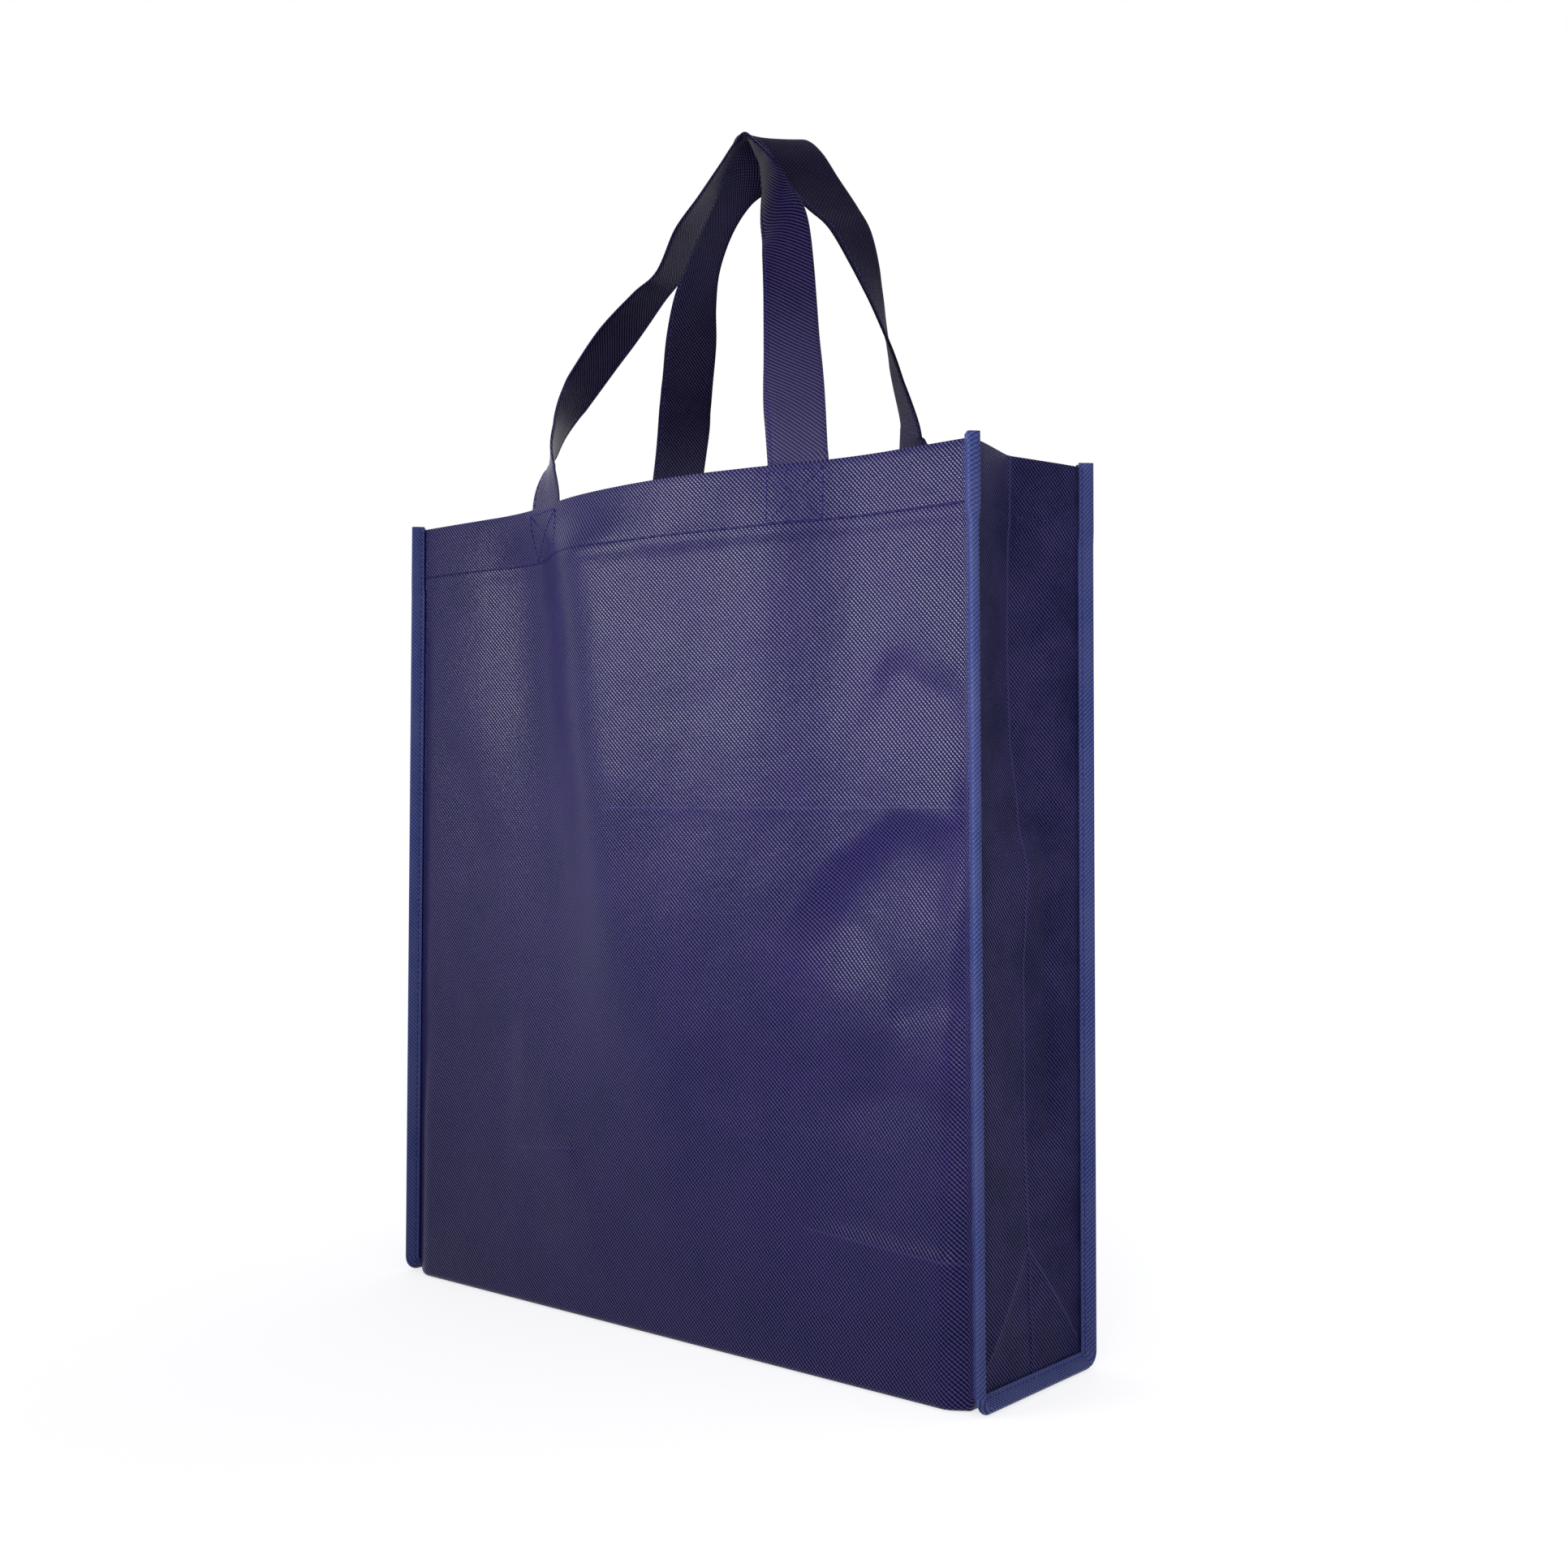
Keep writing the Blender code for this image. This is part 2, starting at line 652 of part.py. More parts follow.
def make_material(name, colour, roughness):
    material = bpy.data.materials.new(name)
    material.use_nodes = True
    surface = material.node_tree.nodes["Principled BSDF"]
    surface.inputs["Base Color"].default_value = (*colour, 1.0)
    surface.inputs["Roughness"].default_value = roughness
    surface.inputs["Metallic"].default_value = 0.0
    return material


def main():
    for item in list(bpy.data.objects):
        bpy.data.objects.remove(item, do_unlink=True)
    cloth = make_material("navy_cloth", (0.045, 0.038, 0.120), 0.55)
    strap = make_material("navy_strap", (0.030, 0.024, 0.070), 0.6)
    tape = make_material("blue_binding", (0.065, 0.085, 0.290), 0.5)
    thread = make_material("blue_thread", (0.040, 0.050, 0.260), 0.5)
    build_body(cloth)
    for side in (1, -1):
        build_gusset(side, cloth)
        build_binding(side, tape)
        build_binding_seam(side, thread)
        build_gusset_hem_seam(side, thread)
    for face in (-1, 1):
        build_handle(face, strap)
        build_hem_seam(face, thread)
        for side in (1, -1):
            build_box_seam(face, side, thread)


main()
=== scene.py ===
"""Looks of the sewn carrier bag: cloth, binding, handles, thread, floor, light and camera."""
from math import atan2, cos, degrees, exp, hypot, pi, radians, sin, sqrt, tan

import bmesh
import bpy
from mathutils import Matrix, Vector, noise


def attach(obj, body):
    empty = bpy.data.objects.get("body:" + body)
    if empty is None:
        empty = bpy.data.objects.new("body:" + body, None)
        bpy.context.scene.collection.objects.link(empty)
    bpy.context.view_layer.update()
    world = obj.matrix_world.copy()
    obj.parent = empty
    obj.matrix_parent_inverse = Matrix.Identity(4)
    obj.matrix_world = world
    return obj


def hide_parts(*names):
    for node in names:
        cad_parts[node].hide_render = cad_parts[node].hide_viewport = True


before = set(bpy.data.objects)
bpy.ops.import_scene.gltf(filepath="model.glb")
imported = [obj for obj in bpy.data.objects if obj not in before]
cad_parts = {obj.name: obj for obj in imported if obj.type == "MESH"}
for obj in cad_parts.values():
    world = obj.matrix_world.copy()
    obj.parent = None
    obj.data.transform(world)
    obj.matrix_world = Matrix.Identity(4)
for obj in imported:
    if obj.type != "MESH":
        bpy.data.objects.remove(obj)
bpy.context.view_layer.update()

# Sizes of the sewn bag, in metres
BAG_WIDTH = 0.360
BAG_DEPTH = 0.080
BAG_HEIGHT = 0.400
FABRIC = 0.0005
CLEARANCE = 0.0003
HEM_DEPTH = 0.028
HEM_STITCH_DROP = 0.0265
HEM_STEP_RUN = 0.008
MOUTH_BULGE = 0.020
MOUTH_BULGE_HALF_SPAN = 0.105
FOOT_BULGE = 0.0068
FOOT_BULGE_RUN = 0.014
FRONT_EDGE_LEAN = 0.0025
FOLD_RADIUS = 0.003
BASE_CLIMB_RUN = 0.0042
SEAM_ALLOWANCE = 0.0062
SEAM_CORNER_RADIUS = 0.0013
BINDING_THICKNESS = 0.0010
BINDING_TIP_RADIUS = 0.0011
BINDING_OVERRUN = 0.0013
BINDING_STITCH_INSET = 0.0022
STRAP_WIDTH = 0.030
STRAP_THICKNESS = 0.0016
STRAP_OFFSET = 0.0825
HANDLE_SHIFT = 0.007
STRAP_SETTLE_RUN = 0.030
STRAP_EDGE_STITCH = 0.0025
HANDLE_RISE = 0.176
THREAD_RADIUS = 0.00025
THREAD_SIDES = 6
STITCH_PITCH = 0.0030
BOX_STITCH_PITCH = 0.0026
BOX_SEAM_INSET = 0.0015
BOX_SEAM_RISE = 0.0009
EMBOSS_PITCH = 0.00205

# How deep the thread pulls the cloth in, and how far that reaches, in metres
HEM_DIP = 0.00022
HEM_DIP_REACH = 0.0011
BINDING_DIP = 0.00028
STRAP_DIP = 0.00025
STITCH_DIP_REACH = 0.0007

# Spacing of the mesh rows, in metres, and of its columns
FOLD_ROW_STEP = 0.004
PANEL_ROW_STEP = 0.0031
GUSSET_ROW_STEP = 0.0026
BINDING_ROW_STEP = 0.0022
PANEL_COLUMNS = 112
GUSSET_MIDDLE_COLUMN = 20

# Depth of the inward crease of a gusset, in metres, by share of the bag's height
GUSSET_CREASE = (
    (0.00, 0.0000),
    (0.13, 0.0020),
    (0.32, 0.0032),
    (0.44, 0.0040),
    (0.50, 0.0026),
    (0.545, 0.0012),
    (0.61, 0.0060),
    (0.70, 0.0097),
    (0.79, 0.0107),
    (1.00, 0.0098),
)

# Small unevenness of a worn panel: height in metres, and waves per metre across and up
PANEL_NOISE = (
    (0.0020, 11, 8, 3.1),
    (0.0009, 24, 20, 5.7),
    (0.00018, 60, 52, 1.7),
)
GUSSET_NOISE = 0.0010
GUSSET_RIDGE = 0.0005
GUSSET_RIDGE_REACH = 0.0009
BINDING_WAVE = 0.00020
STRAP_SWAY = 0.00035

# Folds pressed into the front: points of the line as x and z, the reach of the fold on
# its upper or right side and on the other side, and its height, all in metres
FRONT_FOLDS = (
    (((0.130, 0.312), (0.156, 0.296), (0.184, 0.289)), 0.010, 0.020, -0.0020),
    (((-0.172, 0.300), (-0.140, 0.262), (-0.128, 0.215)), 0.014, 0.026, -0.0018),
    (((0.182, 0.172), (0.140, 0.158)), 0.010, 0.016, -0.0016),
    (((0.100, 0.118), (0.150, 0.126), (0.182, 0.118)), 0.010, 0.018, -0.0014),
    (((-0.020, 0.248), (0.060, 0.249), (0.182, 0.247)), 0.0030, 0.0040, 0.0002),
    (((0.094, 0.064), (0.140, 0.062), (0.180, 0.060)), 0.003, 0.007, 0.0014),
    (((-0.095, 0.077), (-0.050, 0.082)), 0.003, 0.006, 0.0009),
    (((0.160, 0.362), (0.180, 0.342)), 0.006, 0.010, -0.0008),
    (((0.150, 0.390), (0.178, 0.372)), 0.004, 0.005, -0.0006),
)
# Hollows whose cloth sinks below a line: the line, the run to the deepest part, the depth
FRONT_HOLLOWS = (
    (((0.078, 0.185), (0.106, 0.224), (0.140, 0.246), (0.184, 0.240)), 0.022, 0.0044),
    (((-0.170, 0.175), (-0.130, 0.150), (-0.090, 0.148)), 0.024, 0.0016),
    (((0.020, 0.150), (0.080, 0.140), (0.150, 0.160)), 0.030, 0.0014),
)
BACK_HOLLOWS = (
    (((-0.160, 0.170), (-0.080, 0.190), (0.000, 0.160)), 0.024, 0.0024),
)
# Drapes that hang from the strap ends: line, half width, and rise across it
FRONT_DRAPES = (
    (((-0.070, 0.400), (-0.054, 0.290), (-0.016, 0.060)), 0.040, 0.0088),
    (((0.068, 0.392), (0.056, 0.300), (0.040, 0.200)), 0.024, 0.0008),
)
BACK_FOLDS = (
    (((-0.150, 0.300), (-0.060, 0.270)), 0.010, 0.030, -0.0014),
    (((0.040, 0.120), (0.160, 0.150)), 0.008, 0.024, -0.0012),
    (((-0.180, 0.248), (0.182, 0.247)), 0.0022, 0.0030, 0.0003),
)
BACK_DRAPES = (
    (((-0.070, 0.392), (-0.050, 0.200)), 0.020, 0.0016),
    (((0.085, 0.392), (0.070, 0.220)), 0.020, -0.0016),
)
GUSSET_FOLDS = (
    (((0.0, 0.062), (-0.038, 0.012)), 0.0025, 0.005, 0.0009),
    (((0.0, 0.062), (0.038, 0.012)), 0.0025, 0.005, 0.0006),
    (((0.017, 0.400), (0.015, 0.250), (0.019, 0.100)), 0.006, 0.008, -0.0013),
)

# Free loop of each handle: x from the middle of the straps in shares of their offset, y in
# shares of half the depth, height above the mouth in shares of the rise, turn and tilt in degrees
FRONT_HANDLE_ROUTE = (
    (-0.956, -1.125, 0.140, -45.0, -3.0),
    (-0.943, -1.031, 0.219, -52.0, 6.0),
    (-0.893, -0.927, 0.291, -63.4, 7.0),
    (-0.820, -0.817, 0.359, -74.0, 3.6),
    (-0.589, -0.722, 0.475, -80.8, -0.3),
    (-0.352, -0.657, 0.569, -76.9, -7.8),
    (-0.203, -0.616, 0.622, -71.0, -11.3),
    (-0.069, -0.588, 0.728, -70.0, -10.7),
    (0.082, -0.563, 0.813, -63.5, -16.4),
    (0.194, -0.539, 0.883, -56.1, -20.0),
    (0.291, -0.512, 0.938, -53.6, -21.8),
    (0.345, -0.462, 0.953, -54.0, -14.7),
    (0.374, -0.386, 0.930, -49.6, -11.7),
    (0.402, -0.299, 0.898, -44.3, -6.8),
    (0.426, -0.236, 0.847, -34.1, 4.9),
    (0.474, -0.241, 0.762, -17.4, 17.0),
    (0.574, -0.329, 0.671, -2.0, 16.0),
    (0.673, -0.503, 0.527, 2.5, 11.0),
    (0.793, -0.747, 0.326, 8.0, 7.0),
    (0.926, -1.024, 0.158, 14.0, 0.0),
)
BACK_HANDLE_ROUTE = (
    (-0.908, 1.150, 0.260, 18.9, 0.0),
    (-0.828, 1.034, 0.366, 19.4, -10.0),
    (-0.757, 0.922, 0.431, 19.3, -14.3),
    (-0.674, 0.811, 0.544, 16.7, -13.5),
    (-0.597, 0.716, 0.648, 4.0, -20.5),
    (-0.485, 0.651, 0.752, -12.0, -27.3),
    (-0.347, 0.618, 0.853, -14.0, -29.8),
    (-0.190, 0.600, 0.940, -4.0, -29.0),
    (-0.050, 0.590, 0.990, 22.0, -20.0),
    (0.075, 0.560, 1.028, 56.0, -2.0),
    (0.195, 0.510, 1.028, 67.0, 9.0),
    (0.340, 0.440, 0.966, 66.0, 15.0),
    (0.495, 0.363, 0.868, 65.0, 17.5),
    (0.677, 0.309, 0.773, 74.0, 11.8),
    (0.802, 0.314, 0.702, 85.9, 10.7),
    (0.887, 0.388, 0.596, 100.4, 12.5),
    (0.921, 0.505, 0.512, 113.2, 15.6),
    (0.937, 0.635, 0.429, 124.5, 15.2),
    (0.948, 0.771, 0.350, 133.5, 16.4),
    (0.947, 0.910, 0.283, 137.7, 14.7),
    (0.967, 1.050, 0.190, 142.0, 12.0),
    (0.960, 1.120, 0.130, 148.0, 5.0),
)

LAYER_STEP = FABRIC + CLEARANCE
SEAM_OFFSET = LAYER_STEP / 2
HALF_WIDTH = BAG_WIDTH / 2
HALF_DEPTH = BAG_DEPTH / 2
MITRE = tan(pi / 8)
DIAGONAL = sqrt(0.5)
BINDING_INNER_DEPTH = SEAM_ALLOWANCE + CLEARANCE
BINDING_OUTER_DEPTH = BINDING_INNER_DEPTH + BINDING_THICKNESS
BINDING_SIDE = SEAM_OFFSET + FABRIC / 2 + CLEARANCE
SEAM_ROOT_HEIGHT = DIAGONAL * (BINDING_OUTER_DEPTH + BINDING_SIDE + BINDING_THICKNESS - 0.0004)
CORNER_TOP = SEAM_ROOT_HEIGHT + SEAM_CORNER_RADIUS
HEM_FOLD_TOP = BAG_HEIGHT - FABRIC / 2
HEM_FOLD_FOOT = HEM_FOLD_TOP - LAYER_STEP / 2
HEM_END = BAG_HEIGHT - HEM_DEPTH
HEM_STEP_TOP = HEM_END - 2 * CLEARANCE
HEM_STITCH = BAG_HEIGHT - HEM_STITCH_DROP

# Lines on the cloth, each from one point to another: worn pale, and, along the hem's stitches,
# drawn darker as painted shade of the groove they pull in
FRONT_WORN_LINES = (
    ((-0.020, 0.0, 0.248), (0.182, 0.0, 0.247)),
    ((0.094, 0.0, 0.064), (0.181, 0.0, 0.060)),
    ((-0.095, 0.0, 0.077), (-0.050, 0.0, 0.082)),
)
SIDE_WORN_LINES = (
    ((0.0, 0.0, 0.062), (0.0, 0.0, 0.400)),
    ((0.0, 0.0, 0.060), (0.0, -0.037, 0.014)),
    ((0.0, 0.0, 0.060), (0.0, 0.037, 0.014)),
)
FRONT_HEM_SHADE_LINE = ((-0.180, 0.0, HEM_STITCH), (0.180, 0.0, HEM_STITCH))
WORN_LINE_REACH = (0.0009, 0.0002)

# Shape of a pressed dot, in dots per pitch along and across it, and other bump depths
DOT_LONG_WAY = (1.7, 1.5, 0.0)
DOT_SHORT_WAY = (-2.4, 2.8, 0.0)
CRUMPLE_DEPTH = 0.0004
THREAD_TWIST_DEPTH = 0.00006

# Pale floor and soft studio light
FLOOR_REACH = 40
FLOOR_GAP = 0.0002
FLOOR_COLOUR = (0.86, 0.86, 0.86, 1.0)
FLOOR_GLOW = (0.70, 0.70, 0.70, 1.0)
SOFT_LIGHT_COLOUR = (0.96, 0.97, 1.0, 1.0)
SOFT_LIGHT_STRENGTH = 0.40
# Name, place, point aimed at, size, spread in degrees and power of each lamp
LAMPS = (
    ("key", (-0.35, -0.82, 0.47), (0.10, -0.05, 0.33), (0.50, 0.34), 40.0, 0.41),
    ("fill", (0.62, -1.05, 0.45), (0.15, -0.02, 0.26), (0.40, 0.40), 26.0, 0.20),
)

# Camera solved from the lines of the bag in the photo
CAMERA_LENS = 40.366
CAMERA_PLACE = (0.58447, -0.64315, 0.23985)
CAMERA_PITCH = 0.023249
CAMERA_AZIMUTH = 0.69985


def smooth_step(value):
    value = min(max(value, 0.0), 1.0)
    return value * value * (3 - 2 * value)


def spaced(start, end, count):
    return [start + (end - start) * i / count for i in range(count + 1)]


def face_name(face):
    return "front" if face < 0 else "back"


def side_name(side):
    return "right" if side > 0 else "left"


def along_line(x, z, path):
    """Signed distance from a line on the cloth, and how far along it, from 0 to 1."""
    best = None
    total = sum(hypot(b[0] - a[0], b[1] - a[1]) for a, b in zip(path, path[1:]))
    done = 0.0
    for (x0, z0), (x1, z1) in zip(path, path[1:]):
        dx, dz = x1 - x0, z1 - z0
        length = hypot(dx, dz)
        t = ((x - x0) * dx + (z - z0) * dz) / length ** 2
        held = min(max(t, 0.0), 1.0)
        away = hypot(x - x0 - held * dx, z - z0 - held * dz)
        side = 1 if (x - x0) * dz - (z - z0) * dx > 0 else -1
        if best is None or away < abs(best[0]):
            best = (side * away, (done + held * length) / total)
        done += length
    return best


def pressed_fold(x, z, path, quick, slow, height):
    """A fold that rises fast on one side of its line and falls slowly on the other."""
    off, place = along_line(x, z, path)
    reach = quick if off < 0 else slow
    if abs(off) > 3 * reach:
        return 0.0
    ends = smooth_step(place / 0.25) * smooth_step((1 - place) / 0.08 + 0.35)
    return height * exp(-((abs(off) / reach) ** 1.4)) * ends


def hollow(x, z, path, run, depth):
    """Cloth that breaks at a line and sinks below it, then comes back slowly."""
    off, place = along_line(x, z, path)
    if off < 0 or off > 7 * run:
        return 0.0
    ends = smooth_step(place / 0.25) * smooth_step((1 - place) / 0.20 + 0.2)
    return -depth * (off / run) ** 1.5 * exp(1.5 * (1 - off / run)) * ends


def drape(x, z, path, width, rise):
    """Cloth that stands out on the right of a line and lies back on its left."""
    off, place = along_line(x, z, path)
    if abs(off) > 3 * width:
        return 0.0
    ends = 1 - smooth_step((place - 0.25) / 0.75)
    return -rise * off / width * exp(-((off / width) ** 2)) * ends * 2


def relief(face, x, z):
    """How far the worn cloth stands out from the even shape of a panel."""
    front = FRONT_FOLDS, FRONT_HOLLOWS, FRONT_DRAPES
    folds, hollows, drapes = front if face < 0 else (BACK_FOLDS, BACK_HOLLOWS, BACK_DRAPES)
    out = sum(pressed_fold(x, z, *fold) for fold in folds)
    out += sum(hollow(x, z, *line) for line in hollows)
    out += sum(drape(x, z, *line) for line in drapes)
    for height, across, up, layer in PANEL_NOISE:
        out += height * noise.noise(Vector((x * across, face * layer, z * up)))
    edge = smooth_step((HALF_WIDTH - abs(x) - 0.0015) / 0.012)
    hemmed = 1 - 0.85 * smooth_step((z - 0.368) / 0.028)
    return out * edge * hemmed * smooth_step((z - 0.010) / 0.030)


def layer_offset(z):
    """Distance of the outermost cloth from the seam plane: the hem pushes it out."""
    pushed = smooth_step((z - (HEM_STEP_TOP - HEM_STEP_RUN)) / HEM_STEP_RUN)
    return SEAM_OFFSET + LAYER_STEP * pushed


def bulge(x, z):
    """Outward bulge of the front and back, a ruled blend of the mouth and the foot."""
    reach = abs(x - HANDLE_SHIFT) / MOUTH_BULGE_HALF_SPAN
    spans = [min(abs(reach + step), 1.0) for step in (-0.20, -0.12, -0.04, 0.04, 0.12, 0.20)]
    mouth = MOUTH_BULGE * sum(cos(span * pi / 2) for span in spans) / len(spans)
    foot = FOOT_BULGE * smooth_step((HALF_WIDTH - abs(x)) / FOOT_BULGE_RUN)
    share = min(max(z / BAG_HEIGHT, 0.0), 1.0)
    return share * mouth + (1 - share) * foot


def panel_y(face, x, z, offset):
    """Place of the front (-1) or back (1) panel's cloth at a point of its width and height."""
    return face * (HALF_DEPTH + offset + bulge(x, z) + relief(face, x, z))


def crease_depth(z):
    share = min(max(z / BAG_HEIGHT, 0.0), 1.0)
    for (low, low_depth), (high, high_depth) in zip(GUSSET_CREASE, GUSSET_CREASE[1:]):
        if share <= high:
            return low_depth + (high_depth - low_depth) * smooth_step((share - low) / (high - low))
    return GUSSET_CREASE[-1][1]


def base_climb(x):
    return smooth_step(1 - (HALF_WIDTH - abs(x)) / BASE_CLIMB_RUN)


def base_height(x):
    return FABRIC / 2 + (SEAM_ROOT_HEIGHT - SEAM_OFFSET - FABRIC / 2) * base_climb(x)


def fold_radius(x):
    return FOLD_RADIUS + (SEAM_CORNER_RADIUS + SEAM_OFFSET - FOLD_RADIUS) * base_climb(x)


class SeamStation:
    """A point of the U-shaped side seam, with its outward direction in the YZ plane."""

    def __init__(self, y, z, out_y, out_z, inset=0.0):
        self.y = y
        self.z = z
        self.out_y = out_y
        self.out_z = out_z
        self.inset = inset

    def point(self, side, across, along):
        """across runs from the panel side to the gusset side, along runs out to the tip."""
        reach = (along - across) * DIAGONAL
        x = HALF_WIDTH - self.inset + (along + across) * DIAGONAL
        return Vector((side * x, self.y + self.out_y * reach, self.z + self.out_z * reach))


def upright_station(face, z):
    lean = FRONT_EDGE_LEAN if face < 0 else 0.0
    rise = max(z - CORNER_TOP, 0.0) / (BAG_HEIGHT - CORNER_TOP)
    return SeamStation(face * HALF_DEPTH, z, face, 0.0, lean * rise)


def corner_station(face, turn):
    angle = radians(turn)
    centre_y = face * (HALF_DEPTH - SEAM_CORNER_RADIUS)
    y = centre_y + face * SEAM_CORNER_RADIUS * cos(angle)
    z = CORNER_TOP - SEAM_CORNER_RADIUS * sin(angle)
    return SeamStation(y, z, face * cos(angle), -sin(angle))


def base_station(y):
    return SeamStation(y, SEAM_ROOT_HEIGHT, 0.0, -1.0)


def upright_heights(step):
    """Heights of the rows of cloth below the hem fold, from the top down."""
    hem = spaced(HEM_FOLD_FOOT, HEM_STITCH + 0.002, max(int(0.024 / step), 2))
    stitch = spaced(HEM_STITCH + 0.002, HEM_STEP_TOP - HEM_STEP_RUN, 8)
    rest = spaced(HEM_STEP_TOP - HEM_STEP_RUN, CORNER_TOP, max(int(0.355 / step), 2))
    return hem + stitch[1:] + rest[1:]


def hem_fold_rows(step):
    """The turned layer and the fold, as (height, distance outside the seam layer)."""
    rows = [(z, 0.0) for z in spaced(HEM_END, HEM_FOLD_FOOT, max(int(HEM_DEPTH / step), 2))]
    for turn in (30.0, 60.0, 90.0, 120.0, 150.0):
        angle = radians(turn)
        radius = LAYER_STEP / 2
        rows.append((HEM_FOLD_FOOT + radius * sin(angle), radius * (1 - cos(angle))))
    return rows


def drawn_in(x, inset):
    """A column's place where the side edge leans in: columns by the straps stay."""
    outer = HANDLE_SHIFT + STRAP_OFFSET + STRAP_WIDTH / 2
    share = max(abs(x) - outer, 0.0) / (HALF_WIDTH - outer)
    return x - inset * share * (1 if x > 0 else -1)


def stitch_dip(z):
    """The cloth is drawn in a little along the hem's line of stitches."""
    return -HEM_DIP * exp(-(((z - HEM_STITCH) / HEM_DIP_REACH) ** 2))


def mesh_piece(name, points, faces, coords, material, replaced=()):
    """A smooth piece with its cloth coordinates in metres, riding on the bag."""
    mesh = bpy.data.meshes.new(name)
    mesh.from_pydata([tuple(p) for p in points], [], faces)
    mesh.materials.append(material)
    layer = mesh.uv_layers.new(name="cloth")
    for loop in mesh.loops:
        layer.data[loop.index].uv = coords[loop.vertex_index]
    mesh.shade_smooth()
    mesh.update()
    item = bpy.data.objects.new(name, mesh)
    bpy.context.scene.collection.objects.link(item)
    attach(item, "root")
    if replaced:
        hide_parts(*replaced)
    return item


def cloth_thickness(item):
    solid = item.modifiers.new("cloth thickness", "SOLIDIFY")
    solid.thickness = FABRIC
    solid.offset = 0.0
    solid.use_even_offset = True


def lengths_along(points):
    total = [0.0]
    for a, b in zip(points, points[1:]):
        total.append(total[-1] + (b - a).length)
    return total


def grid_piece(name, rows, material, replaced, middle):
    """A grid of cloth. Its coordinates are lengths measured along the cloth."""
    width = len(rows[0])
    points = [p for row in rows for p in row]
    faces = []
    for r in range(len(rows) - 1):
        for c in range(width - 1):
            a = r * width + c
            faces.append((a, a + 1, a + width + 1, a + width))
    down = lengths_along([row[middle] for row in rows])
    across = lengths_along(rows[len(rows) // 2])
    coords = [(across[c], down[r]) for r in range(len(rows)) for c in range(width)]
    item = mesh_piece(name, points, faces, coords, material, replaced)
    return item, across[-1], down[-1]


def panel_columns():
    shoulder = HALF_WIDTH - BASE_CLIMB_RUN
    edge = spaced(shoulder, HALF_WIDTH - 0.0012, 5)[1:]
    return [-x for x in reversed(edge)] + spaced(-shoulder, shoulder, PANEL_COLUMNS) + edge


def panel_row(station, offset, place):
    """One row of the body sheet, from the left lip, over the panel, to the right lip."""
    lip = spaced(offset * MITRE, SEAM_ALLOWANCE, 2)
    row = [station.point(-1, -offset, along) for along in reversed(lip)]
    for column in panel_columns():
        x = drawn_in(column, station.inset)
        row.append(Vector((x, *place(x))))
    row += [station.point(1, -offset, along) for along in lip]
    return row


def face_rows(face):
    """Rows of the front or back, from the turned hem down to the base."""
    rows = []

    def upright(z, offset):
        def place(x):
            return panel_y(face, x, z, offset + stitch_dip(z)), z

        rows.append(panel_row(upright_station(face, z), offset, place))

    for z, step in hem_fold_rows(FOLD_ROW_STEP):
        upright(z, SEAM_OFFSET + step)
    for z in upright_heights(PANEL_ROW_STEP):
        upright(z, layer_offset(z))

    def fold_place(turn):
        angle = radians(turn)

        def place(x):
            radius = fold_radius(x)
            outer = HALF_DEPTH + SEAM_OFFSET + bulge(x, 0.0)
            y = face * (outer - radius * (1 - cos(angle)))
            return y, base_height(x) + radius * (1 - sin(angle))

        return place

    for turn in (0.0, 18.0, 36.0, 54.0, 72.0, 90.0):
        rows.append(panel_row(corner_station(face, turn), SEAM_OFFSET, fold_place(turn)))

    def base_place(share):
        def place(x):
            start = HALF_DEPTH + SEAM_OFFSET + bulge(x, 0.0) - fold_radius(x)
            return face * start * share, base_height(x)

        return place

    for share in (0.85, 0.7, 0.55, 0.4, 0.25, 0.1):
        y = face * (HALF_DEPTH - SEAM_CORNER_RADIUS) * share
        rows.append(panel_row(base_station(y), SEAM_OFFSET, base_place(share)))
    return rows


def sew_body(cloth):
    rows = face_rows(-1) + list(reversed(face_rows(1)))
    middle = len(rows[0]) // 2
    item, width, length = grid_piece("body_cloth", rows, cloth, ["body_sheet"], middle)
    cloth_thickness(item)


def gusset_relief(y, z):
    """The gusset's pressed diagonals near the base, its dent and its small unevenness."""
    out = sum(pressed_fold(y, z, *fold) for fold in GUSSET_FOLDS)
    out += GUSSET_NOISE * noise.noise(Vector((y * 30, 1.3, z * 12)))
    edge = smooth_step((HALF_DEPTH - abs(y) - 0.0022) / 0.008)
    return out * edge * smooth_step((z - 0.010) / 0.010)


def gusset_x(y, z, offset):
    """Distance of the creased gusset from the middle of the bag."""
    lean = upright_station(-1, z).inset * (1 - y / HALF_DEPTH) / 2
    crease = crease_depth(z) * (1 - abs(y) / HALF_DEPTH)
    ridge = GUSSET_RIDGE * exp(-((y / GUSSET_RIDGE_REACH) ** 2))
    return HALF_WIDTH + offset - lean - crease + ridge + gusset_relief(y, z)


# Places of the gusset's columns, in shares of its half width, close together at the crease
CREASE_SHARES = [-0.05, -0.03, -0.015, 0.0, 0.015, 0.03, 0.05]
GUSSET_SHARES = spaced(-1.0, -0.1, 16) + CREASE_SHARES + spaced(0.1, 1.0, 16)


def gusset_row(side, z, offset):
    """One row of a gusset: front lip, the creased cloth, back lip."""
    lip = spaced(offset * MITRE, SEAM_ALLOWANCE, 2)
    front = upright_station(-1, z)
    back = upright_station(1, z)
    row = [front.point(side, offset, along) for along in reversed(lip)]
    for share in GUSSET_SHARES:
        y = share * (HALF_DEPTH - SEAM_CORNER_RADIUS)
        row.append(Vector((side * gusset_x(y, z, offset + stitch_dip(z)), y, z)))
    row += [back.point(side, offset, along) for along in lip]
    return row


